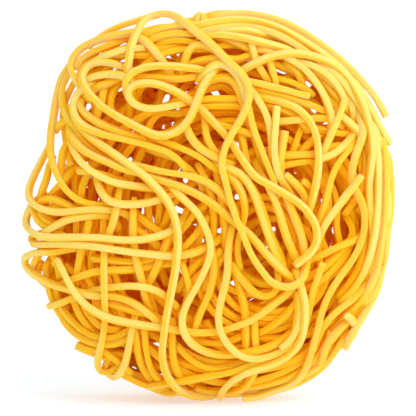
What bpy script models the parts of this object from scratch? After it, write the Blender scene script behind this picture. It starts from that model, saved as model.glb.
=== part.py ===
"""Dry pasta nest that stands on its rim: one fused solid, a core with the strands that show.

Metres, +Z up, the front face towards -Y. The origin lies on the floor, under the middle of the nest.
Hand-laid strands are drawn on a face grid: x to the right and y down, GRID metres a step.
"""

import math
import random

import bmesh
import bpy
import numpy as np
from mathutils import Matrix, Vector

# Driving dimensions, in metres
GRID = 0.0002
STRAND_WIDTH = 0.00155
HALF_WIDTH = 186 * GRID
HALF_HEIGHT = 198 * GRID
HALF_DEPTH = 0.0172
FACE_SWELL = 0.0011
FLAT_CUT = 0.0003
SLIVER = 0.000002
FOOT_HALF_DEPTH = 0.0068
OUTLINE_POWER = 2.28
DENT_ANGLE = math.radians(158)
DENT_DEPTH = 0.085
DENT_SPREAD = math.radians(19)

# The middle of the nest on the face grid, in steps, and how far the grid is tipped to look down on it
GRID_MIDDLE_X = 208
GRID_MIDDLE_Y = 205.5
GRID_TIP = math.radians(6)

# Core: the part of the nest under the strands that show
CORE_SHARE = 0.92
CORE_DROP = 2.9 * STRAND_WIDTH
CORE_LUMP = 0.0007
CORE_SPOKES = 24
CORE_RINGS = 14

# Strands: how they are layered and how finely they are divided
LAYER_STEP = 0.5 * STRAND_WIDTH
LONGEST_SEGMENT = 0.016
TURN_A_SEGMENT = math.radians(43)
TUCKED_LAYER = 1.8
TAIL_REACH = 0.3
TAIL_DIVE = np.array((0, 0, 4))
RIM_STRANDS = 11
RIM_SPREAD = 0.66
FOOT_STRANDS = 4
FOOT_ARC = math.radians(38)
BACK_LOOPS = 9
SEED = 11

# name: each point is x, y and the layer there, where layer 0 is outermost
FRONT_ROUTES = {
    "arch": [(126, 80, 3), (128, 60, 1), (133, 36, 0.5), (148, 18, 0), (165, 13, 0), (187, 24, 0),
             (213, 46, 0), (238, 69, 0), (248, 84, 0), (247, 105, 0), (236, 128, 0), (224, 155, 0.5),
             (226, 178, 0.3), (232, 206, 0), (242, 235, 0), (255, 264, 0), (270, 281, 0), (285, 288, 0),
             (299, 281, 0), (306, 266, 0.8), (309, 250, 3)],
    "hook": [(190, 102, 3), (168, 108, 1), (146, 109, 0.5), (131, 102, 0.3), (127, 92, 0.3),
             (136, 84, 0.3), (153, 82, 0.3), (176, 91, 0.3), (200, 109, 1), (222, 133, 1), (242, 161, 0.5),
             (258, 182, 0), (280, 190, 0), (303, 201, 0), (317, 222, 0), (319, 240, 0), (311, 256, 0),
             (297, 266, 0.5)],
    "oval": [(126, 70, 2.4), (112, 61, 1), (98, 60, 1), (86, 68, 0.3), (83, 82, 0), (91, 97, 0),
             (108, 112, 0), (128, 124, 0), (148, 133, 0), (165, 136, 0), (181, 129, 0), (191, 113, 0),
             (197, 95, 0), (203, 77, 0.3), (208, 64, 1.5)],
    "brow": [(126, 90, 2.2), (128, 79, 1), (138, 69, 0.8), (155, 65, 0.8), (180, 66, 0.8), (205, 68, 0.8),
             (222, 64, 0.8), (235, 71, 0.8), (243, 86, 0.8), (248, 106, 0.8), (255, 126, 0.5),
             (265, 148, 0.5), (275, 170, 0.8), (284, 190, 1.4)],
    "right_sweep": [(238, 76, 2.2), (252, 65, 0.8), (267, 58, 0.6), (284, 53, 0.5), (303, 54, 0.5),
                    (325, 61, 0.5), (345, 74, 0.5), (359, 93, 0.5), (368, 115, 0.6), (371, 140, 0.8),
                    (369, 165, 1), (368, 190, 1.8)],
    "right_arc": [(246, 94, 2.6), (262, 92, 1.2), (281, 96, 1), (298, 103, 1), (310, 114, 1), (317, 129, 1),
                  (319, 147, 1), (317, 165, 1), (313, 185, 1), (309, 205, 1.8), (305, 222, 2.8)],
    "long_j": [(74, 115, 2.4), (80, 130, 1), (93, 140, 0.8), (112, 154, 0.5), (132, 169, 0), (152, 184, 0),
               (167, 202, 0), (175, 224, 0), (178, 248, 0), (176, 272, 0), (171, 297, 0), (167, 322, 0),
               (163, 350, 0), (166, 370, 0), (178, 386, 0), (198, 397, 0), (222, 401, 0.5)],
    "middle_left": [(66, 110, 2.6), (69, 128, 1), (75, 144, 0.6), (90, 155, 0.5), (110, 162, 0.5),
                    (132, 168, 1), (156, 171, 0.8), (182, 176, 0.8), (204, 182, 1), (219, 192, 1.8)],
    "hairpin": [(102, 167, 2), (122, 173, 1), (145, 178, 1), (168, 183, 0.8), (190, 193, 0.8),
                (212, 208, 0.8), (232, 224, 1), (250, 239, 1), (266, 252, 1), (277, 268, 1), (278, 284, 1),
                (268, 298, 1), (256, 293, 1), (246, 276, 1), (238, 256, 1.2), (232, 236, 2.4)],
    "left_rim": [(88, 58, 2.8), (72, 70, 2), (59, 87, 1.5), (52, 108, 1), (50, 130, 0.8), (52, 152, 0.8),
                 (58, 172, 0.8), (68, 189, 1), (82, 200, 1.2), (100, 205, 2)],
    "left_loop_high": [(52, 132, 2.4), (44, 152, 1), (34, 174, 0.5), (28, 190, 0.3), (32, 204, 0.3),
                       (46, 212, 0.5), (64, 214, 0.8), (82, 212, 1), (100, 213, 2)],
    "left_loop_mid": [(36, 200, 1.8), (27, 214, 1), (24, 225, 0.8), (32, 234, 0.6), (52, 238, 0.5),
                      (80, 238, 0.5), (105, 239, 0.5), (130, 241, 0.5), (155, 239, 0.8), (175, 233, 2)],
    "left_loop_low": [(62, 250, 2.4), (40, 249, 1), (25, 252, 0.5), (23, 259, 0.3), (34, 271, 0.3),
                      (52, 282, 0.4), (76, 290, 0.5), (102, 292, 0.6), (122, 287, 0.6), (140, 286, 0.6),
                      (158, 290, 0.8), (176, 299, 2)],
    "lower_sweep": [(60, 260, 0.6), (67, 275, 0.3), (77, 293, 0.3), (92, 308, 0.3), (112, 318, 0.3),
                    (138, 323, 0.4), (165, 327, 1), (192, 332, 0.8), (216, 333, 1), (240, 325, 1.5),
                    (262, 312, 2.2)],
    "left_post": [(116, 214, 2), (110, 231, 1), (105, 248, 1.2), (104, 270, 0.7), (104, 295, 1),
                  (104, 320, 1), (102, 342, 0.4), (98, 360, 0.3), (101, 371, 0.3), (110, 369, 1.2)],
    "right_post": [(140, 300, 2.2), (133, 326, 0.8), (129, 350, 0.5), (122, 368, 0.3), (112, 378, 0.3),
                   (102, 374, 0.6), (105, 362, 1.2), (116, 357, 2)],
    "outer_loop": [(217, 402, 0), (221, 390, 0), (230, 381, 0), (246, 373, 0.2), (266, 366, 0.3),
                   (285, 357, 0.3), (299, 345, 0.3), (306, 329, 0.4), (307, 311, 0.5), (304, 295, 1)],
    "inner_loop": [(229, 216, 1.6), (230, 238, 0.8), (227, 260, 0.5), (222, 285, 0.4), (219, 308, 0.4),
                   (220, 328, 0.4), (228, 344, 0.4), (243, 356, 0.5), (262, 360, 0.5), (280, 356, 1)],
    "second_loop": [(188, 202, 1.8), (201, 218, 1), (210, 238, 0.8), (212, 256, 0.8), (205, 276, 0.6),
                    (193, 298, 0.5), (185, 316, 0.5), (184, 332, 0.5), (193, 347, 0.5), (210, 355, 0.6),
                    (230, 358, 1.4)],
    "right_runner": [(241, 399, 0.3), (258, 397, 0.4), (278, 389, 0.5), (296, 375, 0.5), (306, 357, 0.5),
                     (314, 335, 0.6), (320, 308, 0.6), (330, 285, 0.6), (344, 263, 0.6), (357, 244, 0.6),
                     (366, 222, 0.7), (371, 198, 1)],
    "cut_diagonal": [(360, 175, 0.4), (348, 193, 0.2), (334, 211, 0.4), (324, 227, 0.6), (319, 244, 1.6)],
    "top_left_loop": [(146, 34, 2), (130, 33, 1), (110, 36, 0.5), (92, 42, 0.3), (77, 52, 0.2),
                      (71, 65, 0.2), (76, 77, 0.6), (88, 90, 2)],
    "drop_from_brow": [(252, 88, 1.8), (261, 108, 1.2), (268, 132, 1.2), (274, 156, 1.2), (280, 178, 1.2),
                       (283, 200, 1.2), (287, 222, 1.4), (296, 248, 2.2)],
    "right_inner_curl": [(224, 166, 1.4), (238, 173, 1), (249, 187, 1), (258, 208, 1), (266, 230, 1),
                         (274, 251, 1.2), (283, 268, 2)],
    "cut_upright": [(343, 101, 0.4), (339, 116, 0.4), (331, 132, 0.6), (322, 152, 0.8), (318, 175, 1.6)],
    "right_rim": [(338, 79, 2.4), (366, 94, 1), (383, 122, 0.6), (390, 150, 0.5), (391, 180, 0.5),
                  (391, 210, 0.5), (388, 240, 0.6), (379, 262, 1), (366, 277, 2.4)],
    "low_right_bow": [(367, 272, 0.8), (352, 298, 0.8), (336, 322, 0.6), (322, 346, 0.6), (314, 368, 0.6),
                      (298, 384, 0.8)],
}


def clear_scene():
    for item in list(bpy.data.objects):
        bpy.data.objects.remove(item, do_unlink=True)


def new_collection(name):
    made = bpy.data.collections.new(name)
    bpy.context.scene.collection.children.link(made)
    return made


def pasta_material():
    made = bpy.data.materials.new("dry_egg_pasta")
    made.use_nodes = True
    shader = made.node_tree.nodes["Principled BSDF"]
    shader.inputs["Base Color"].default_value = (0.93, 0.56, 0.08, 1)
    shader.inputs["Roughness"].default_value = 0.5
    shader.inputs["Metallic"].default_value = 0
    return made


def world_place(u, v, depth):
    """A place measured from the middle of the nest, as a world place."""
    return Vector((u, depth, v + HALF_HEIGHT - FLAT_CUT))


def outline_share(u, v):
    """How far out a face point lies: 0 in the middle of the nest, 1 on its outline, which has a dent."""
    across = abs(u / HALF_WIDTH) ** OUTLINE_POWER
    up = abs(v / HALF_HEIGHT) ** OUTLINE_POWER
    away = (math.atan2(v, u) - DENT_ANGLE + math.pi) % (2 * math.pi) - math.pi
    dent = 1 - DENT_DEPTH * math.exp(-(away / DENT_SPREAD) ** 2)
    return (across + up) ** (1 / OUTLINE_POWER) / dent


def face_depth(u, v):
    """Half the nest's depth there: uneven in the middle, and rounded over at the rim."""
    share = min(outline_share(u, v), 1)
    swell = FACE_SWELL * math.sin(150 * u + 1) * math.cos(120 * v - 0.5)
    return (HALF_DEPTH + swell * (1 - share)) * max(0.02, 1 - share ** 3) ** 0.45


def smooth_route(knots):
    """Points on a Catmull-Rom curve through the knots, closer together where it turns."""
    knots = np.array(knots, float)
    padded = np.vstack([2 * knots[0] - knots[1], knots, 2 * knots[-1] - knots[-2]])
    dense = []
    for before, start, end, after in zip(padded, padded[1:], padded[2:], padded[3:]):
        for t in np.linspace(0, 1, 16, endpoint=False):
            dense.append(0.5 * (2 * start + (end - before) * t
                                + (2 * before - 5 * start + 4 * end - after) * t ** 2
                                + (3 * start - before - 3 * end + after) * t ** 3))
    dense = np.array(dense + [knots[-1]])
    steps = np.diff(dense, axis=0)
    lengths = np.linalg.norm(steps, axis=1)
    headings = steps / lengths[:, None]
    turns = np.arccos(np.clip((headings[1:] * headings[:-1]).sum(axis=1), -1, 1))
    cost = lengths / LONGEST_SEGMENT + np.append(turns, 0) / TURN_A_SEGMENT
    spent = np.concatenate([[0], np.cumsum(cost)])
    even = np.linspace(0, spent[-1], max(3, math.ceil(spent[-1])) + 1)
    return np.stack([np.interp(even, spent, dense[:, axis]) for axis in range(3)], axis=1)


def face_strand(knots):
    """Points of a strand that lies on the front face."""
    placed = []
    for x, y, layer in with_tails(knots):
        u = (x - GRID_MIDDLE_X) * GRID
        v = (GRID_MIDDLE_Y - y) * GRID
        v += math.tan(GRID_TIP) * face_depth(u, v)
        placed.append((u, v, STRAND_WIDTH / 2 + layer * LAYER_STEP - face_depth(u, v)))
    return smooth_route(placed)


def with_tails(knots):
    """The knots, carried on down into the core at each end that is already tucked under."""
    longer = [np.array(knot, float) for knot in knots]
    if longer[-1][2] >= TUCKED_LAYER:
        longer.append(longer[-1] + (longer[-1] - longer[-2]) * TAIL_REACH + TAIL_DIVE)
    if longer[0][2] >= TUCKED_LAYER:
        longer.insert(0, longer[0] + (longer[0] - longer[1]) * TAIL_REACH + TAIL_DIVE)
    return longer


def rim_point(angle, across, under):
    """A place on the rounded rim: angle goes round the nest, across from -1 at the front to 1 at the back."""
    tilt = across * math.pi / 2
    share = math.cos(tilt) ** 0.45
    depth = (HALF_DEPTH - under) * math.copysign(abs(math.sin(tilt)) ** 0.9, tilt)
    u = math.cos(angle)
    v = math.sin(angle)
    reach = share / outline_share(u, v) - under
    return (u * reach, v * reach, depth)


def rim_strand(rng, turn):
    """A strand wound round the rim for part of a turn, drifting across it, with its ends tucked in."""
    start = 2 * math.pi * (turn * 0.382 % 1)
    arc = math.radians(rng.uniform(95, 160))
    across = RIM_SPREAD * (2 * (turn + 0.5) / RIM_STRANDS - 1)
    drift = rng.uniform(-0.3, 0.3)
    sway = rng.uniform(0.02, 0.07)
    knots = []
    for step in range(9):
        along = step / 8
        angle = start + arc * along
        place = across + drift * (along - 0.5) + sway * math.sin(5 * angle)
        tuck = 2.5 * abs(2 * along - 1) ** 6 + 0.8 * (turn % 3)
        knots.append(rim_point(angle, place, STRAND_WIDTH / 2 + tuck * LAYER_STEP))
    return smooth_route(knots)


def foot_strand(number):
    """A strand under the nest that comes down to the floor, where the foot is trimmed flat."""
    depth = FOOT_HALF_DEPTH * (2 * number / (FOOT_STRANDS - 1) - 1)
    knots = []
    for step in range(7):
        turned = FOOT_ARC * (step / 3 - 1)
        tuck = 5.5 * LAYER_STEP * abs(step / 3 - 1) ** 3
        u, v, _ = rim_point(turned - math.pi / 2, 0, STRAND_WIDTH / 2 + tuck)
        knots.append((u, v, depth * (1 + 0.1 * math.sin(3 * turned + number))))
    return smooth_route(knots)


def back_loop(rng, number):
    """A loop on the back face: part of a circle whose radius swells and shrinks as it goes round."""
    heading = 2.4 * number
    out = HALF_WIDTH * rng.uniform(0.25, 0.5)
    radius = HALF_WIDTH * rng.uniform(0.26, 0.46)
    swell = rng.uniform(0.12, 0.3)
    start = rng.uniform(0, 2 * math.pi)
    sweep = rng.uniform(1.1, 1.6) * math.pi
    knots = []
    for step in range(11):
        angle = start + sweep * step / 10
        reach = radius * (1 + swell * math.sin(1.7 * angle + number))
        u = out * math.cos(heading) + reach * math.cos(angle)
        v = out * math.sin(heading) + reach * math.sin(angle)
        inwards = min(1, 0.93 / outline_share(u, v))
        layer = 0.8 * (number % 3) + 6 * abs(step / 5 - 1) ** 6
        depth = face_depth(u * inwards, v * inwards) - STRAND_WIDTH / 2 - layer * LAYER_STEP
        knots.append((u * inwards, v * inwards, depth))
    return smooth_route(knots)


def tube(name, points, collection):
    """A strand as a closed mesh: a curve with a round bevel and filled caps, made a mesh and welded."""
    data = bpy.data.curves.new(name, "CURVE")
    data.dimensions = "3D"
    data.bevel_depth = STRAND_WIDTH / 2
    data.bevel_resolution = 1
    data.use_fill_caps = True
    spline = data.splines.new("POLY")
    spline.points.add(len(points) - 1)
    for spline_point, place in zip(spline.points, points):
        spline_point.co = (*world_place(*place), 1)
    guide = bpy.data.objects.new(name + "_guide", data)
    collection.objects.link(guide)
    evaluated = guide.evaluated_get(bpy.context.evaluated_depsgraph_get())
    mesh = bpy.data.meshes.new_from_object(evaluated)
    strand = bpy.data.objects.new(name, mesh)
    strand.matrix_world = guide.matrix_world
    collection.objects.link(strand)
    bpy.data.objects.remove(guide, do_unlink=True)
    shape = bmesh.new()
    shape.from_mesh(mesh)
    bmesh.ops.remove_doubles(shape, verts=shape.verts, dist=1e-6)
    bmesh.ops.recalc_face_normals(shape, faces=shape.faces)
    shape.to_mesh(mesh)
    shape.free()


def core(name, material, collection):
    """The body under the strands: a lumpy disc with a rounded rim, made from a UV sphere."""
    shape = bmesh.new()
    bmesh.ops.create_uvsphere(shape, u_segments=CORE_SPOKES, v_segments=CORE_RINGS, radius=1)
    bmesh.ops.rotate(shape, verts=shape.verts, matrix=Matrix.Rotation(math.pi / 2, 3, "X"))
    for vertex in shape.verts:
        across = math.asin(max(-1, min(1, vertex.co.y))) * 2 / math.pi
        angle = math.atan2(vertex.co.z, vertex.co.x)
        u, v, depth = rim_point(angle, across, 0)
        lump = CORE_LUMP * math.sin(7 * angle + 9 * across) * math.cos(5 * across + 3 * angle)
        inner = (HALF_DEPTH - CORE_DROP) / HALF_DEPTH
        vertex.co = world_place(u * CORE_SHARE, v * CORE_SHARE, depth * inner + lump)
    mesh = bpy.data.meshes.new(name)
    shape.to_mesh(mesh)
    shape.free()
    mesh.materials.append(material)
    made = bpy.data.objects.new(name, mesh)
    collection.objects.link(made)
    return made


def floor_cutter(collection):
    """A block under the floor, which trims the lowest strands to small flat spots."""
    size = 4 * HALF_WIDTH
    shape = bmesh.new()
    bmesh.ops.create_cube(shape, size=size)
    mesh = bpy.data.meshes.new("floor_cutter")
    shape.to_mesh(mesh)
    shape.free()
    made = bpy.data.objects.new("floor_cutter", mesh)
    made.location.z = -size / 2
    made.hide_render = True
    made.display_type = "WIRE"
    collection.objects.link(made)
    return made


def fuse(body, strands, cutter):
    """Joins the strands to the core, trims the foot, and keeps the one body that this makes."""
    join = body.modifiers.new("join_strands", "BOOLEAN")
    join.operation = "UNION"
    join.operand_type = "COLLECTION"
    join.collection = strands
    join.solver = "MANIFOLD"
    trim = body.modifiers.new("trim_foot", "BOOLEAN")
    trim.operation = "DIFFERENCE"
    trim.object = cutter
    trim.solver = "MANIFOLD"
    graph = bpy.context.evaluated_depsgraph_get()
    fused = bpy.data.meshes.new_from_object(body.evaluated_get(graph))
    body.modifiers.clear()
    body.data = fused
    for strand in list(strands.objects):
        bpy.data.objects.remove(strand, do_unlink=True)
    keep_largest_shell(fused)
    centre_over_origin(fused)


def keep_largest_shell(mesh):
    """Fills sealed hollows and drops loose scraps, by keeping only the outer surface of the largest piece."""
    shape = bmesh.new()
    shape.from_mesh(mesh)
    bmesh.ops.dissolve_degenerate(shape, dist=SLIVER, edges=shape.edges)
    bmesh.ops.triangulate(shape, faces=shape.faces)
    unseen = set(shape.faces)
    shells = []
    while unseen:
        shell = [unseen.pop()]
        for face in shell:
            for edge in face.edges:
                beside = [other for other in edge.link_faces if other in unseen]
                if len(edge.link_faces) == 2 and beside:
                    unseen.discard(beside[0])
                    shell.append(beside[0])
        shells.append(shell)
    shells.sort(key=len, reverse=True)
    dropped = [face for shell in shells[1:] for face in shell]
    bmesh.ops.delete(shape, geom=dropped, context="FACES")
    shape.to_mesh(mesh)
    shape.free()


def centre_over_origin(mesh):
    """Moves the mesh sideways, so that the origin lies under the middle of its bounding box."""
    corners = np.array([vertex.co for vertex in mesh.vertices])
    middle = (corners.min(axis=0) + corners.max(axis=0)) / 2
    mesh.transform(Matrix.Translation((-middle[0], -middle[1], 0)))


def main():
    clear_scene()
    rng = random.Random(SEED)
    parts = new_collection("pasta_nest_parts")
    strands = new_collection("strands")
    cutters = new_collection("cutters")
    body = core("pasta_nest", pasta_material(), parts)
    for name, knots in FRONT_ROUTES.items():
        tube(name, face_strand(knots), strands)
    for turn in range(RIM_STRANDS):
        tube(f"rim_{turn}", rim_strand(rng, turn), strands)
    for number in range(FOOT_STRANDS):
        tube(f"foot_{number}", foot_strand(number), strands)
    for number in range(BACK_LOOPS):
        tube(f"back_{number}", back_loop(rng, number), strands)
    fuse(body, strands, floor_cutter(cutters))


main()
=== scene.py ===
"""Looks of the dry pasta nest: every strand modelled at true size, on a pale floor in soft light.

Metres, +Z up, the front face towards -Y. The listed front strands are drawn on a view grid as the camera
sees them: x to the right, y down and the layer there, where layer 0 is outermost.
"""

import math
import random

import bpy
import numpy as np
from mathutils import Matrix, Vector


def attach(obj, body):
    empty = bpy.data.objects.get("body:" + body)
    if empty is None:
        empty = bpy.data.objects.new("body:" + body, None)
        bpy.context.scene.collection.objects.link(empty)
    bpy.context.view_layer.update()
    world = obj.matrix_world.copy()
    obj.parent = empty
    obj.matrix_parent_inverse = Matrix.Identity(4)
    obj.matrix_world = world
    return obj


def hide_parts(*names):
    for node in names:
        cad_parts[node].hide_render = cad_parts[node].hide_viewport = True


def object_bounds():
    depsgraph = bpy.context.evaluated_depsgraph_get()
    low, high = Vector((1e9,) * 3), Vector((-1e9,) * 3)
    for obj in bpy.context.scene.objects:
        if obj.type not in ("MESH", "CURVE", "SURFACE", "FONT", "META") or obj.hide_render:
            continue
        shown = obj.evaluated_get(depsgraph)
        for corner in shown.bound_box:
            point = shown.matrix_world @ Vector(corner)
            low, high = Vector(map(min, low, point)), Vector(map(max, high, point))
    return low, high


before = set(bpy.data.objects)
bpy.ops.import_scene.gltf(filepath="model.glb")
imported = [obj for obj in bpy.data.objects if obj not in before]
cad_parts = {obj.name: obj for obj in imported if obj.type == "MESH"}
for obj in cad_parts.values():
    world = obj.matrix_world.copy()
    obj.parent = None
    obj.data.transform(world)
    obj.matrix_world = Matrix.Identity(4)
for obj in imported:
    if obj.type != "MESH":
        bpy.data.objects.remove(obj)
cad_low, cad_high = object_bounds()

# Sizes in metres
STRAND_WIDTH = 0.00135
STRAND_THICKNESS = 0.0012
HALF_WIDTH = 0.0372
HALF_HEIGHT = 0.0396
HALF_DEPTH = 0.0172
LAYER = 0.7 * STRAND_WIDTH
BOX_MARGIN = 0.00024
# How deep inside the nest the painted shade reaches its full strength
PAINTED_SHADE_RANGE = 0.006
TINY = 1e-9

# The nest's outline, with a dent at the upper left, and how its faces round over at the rim
OUTLINE_POWER = 2.28
DENT_ANGLE = math.radians(158)
DENT_DEPTH = 0.085
DENT_SPREAD = math.radians(19)
FACE_SWELL = 0.0011
RIM_ROUNDING = 0.45
RIM_LEAST = 0.02
RIM_SLOPE = 0.9

# The swept strand
CORNER_SHARE = 0.34
CORNER_INSET = 0.97
CUT_END_SIZE = 0.9
CURVE_STEPS = 12
RING_SPACING = 0.0007
INNER_RING_SPACING = 0.001
GRAIN_PER_METRE = 1000
GRAIN_SHIFT = 100

# Colours and light
DEEP_YELLOW = (0.945, 0.47, 0.005, 1)
RICH_YELLOW = (0.945, 0.515, 0.01, 1)
PALE_YELLOW = (0.945, 0.575, 0.035, 1)
# Pale cream for the grain streaks, and also for the painted highlight on two sides of every strand
CREAM_FOR_GRAIN_AND_HIGHLIGHT = (0.945, 0.67, 0.16, 1)
# Painted shade: strands deeper inside the nest are painted these more saturated colours, standing in for
# light bouncing between strands
PAINTED_SHADE_YELLOW = (0.96, 0.445, 0.002, 1)
PAINTED_DEEP_SHADE_GOLD = (0.995, 0.44, 0.001, 1)
SPECK_BROWN = (0.87, 0.3, 0.006, 1)
CUT_END = (0.96, 0.72, 0.18, 1)
WHITE = (1, 1, 1, 1)
FLOOR_WHITE = (0.62, 0.71, 0.79, 1)
FLOOR_GLOW = 0.4
FLOOR_REACH = 6
WORLD_LEFT = 0.5
WORLD_RIGHT = 1.55
KEY_PLACE = (0.5, -0.65, 0.75)
KEY_SIZE = 0.6
KEY_POWER = 3.9
DISPLAY_GAMMA = 1.3

# Camera and the view grid
VIEW_STEP = 0.0002
VIEW_DISTANCE = 0.8
VIEW_ELEVATION = math.radians(6)
SENSOR_WIDTH = 36
FRAME_STEPS = 416
FRAME_MIDDLE = 208
GRID_MIDDLE = (207.5, 204)
CELLS_PER_STEP = 2

# How strands are settled against one another
POINT_SPACING = 0.0007
SETTLE_STEPS = 150
PAIR_REFRESH = 5
PAIR_REACH = 1.25 * STRAND_WIDTH
OWN_REACH = 3.2 * STRAND_WIDTH / POINT_SPACING
CONTACT = 0.98 * STRAND_WIDTH
CONTACT_GIVE = 0.42
LAYER_GAP = 0.12
LAYER_RISE = 0.4
LEAST_RISE = 0.15
SIDEWAYS = 0.8
SIDEWAYS_IF_LAID = 0.35
MOVE_OF_LAID = 0.3
SMOOTHING = 0.5
LAST_SMOOTHINGS = 2
PUSH_RATE = 0.5
POCKET_DEPTH = -0.1 * HALF_DEPTH
SEED = 11

# Strands that fill the nest behind the ones that show in front
RIM_BUNDLES = 19
BELT_STRANDS = 14
OVER_STRANDS = 7
INNER_BUNDLES = 60
TURN_SHARE = 0.382
SIDE_SHARE = 0.618
RIM_RANK = 3
BELT_RANK = 0.6
OVER_RANK = 0.3
INNER_RANK = 5
INNER_SHIFT = (0.07, -0.06)
INNER_REACH = 0.9
INNER_CLEARANCE = 2.8 * STRAND_WIDTH
BACK_TURN = math.radians(152)
BACK_SCALE = 0.97
BACK_REACH = 0.97
OUTER_LIMIT = 0.968
LAID_LEEWAY = 0.004

# Sides where the photo's outline is open: the angle, how far in and how wide
OPEN_SIDES = [
    (math.radians(165), 0.145, math.radians(41)),
    (math.radians(232), 0.05, math.radians(13)),
    (math.radians(102), 0.05, math.radians(11)),
]
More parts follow.
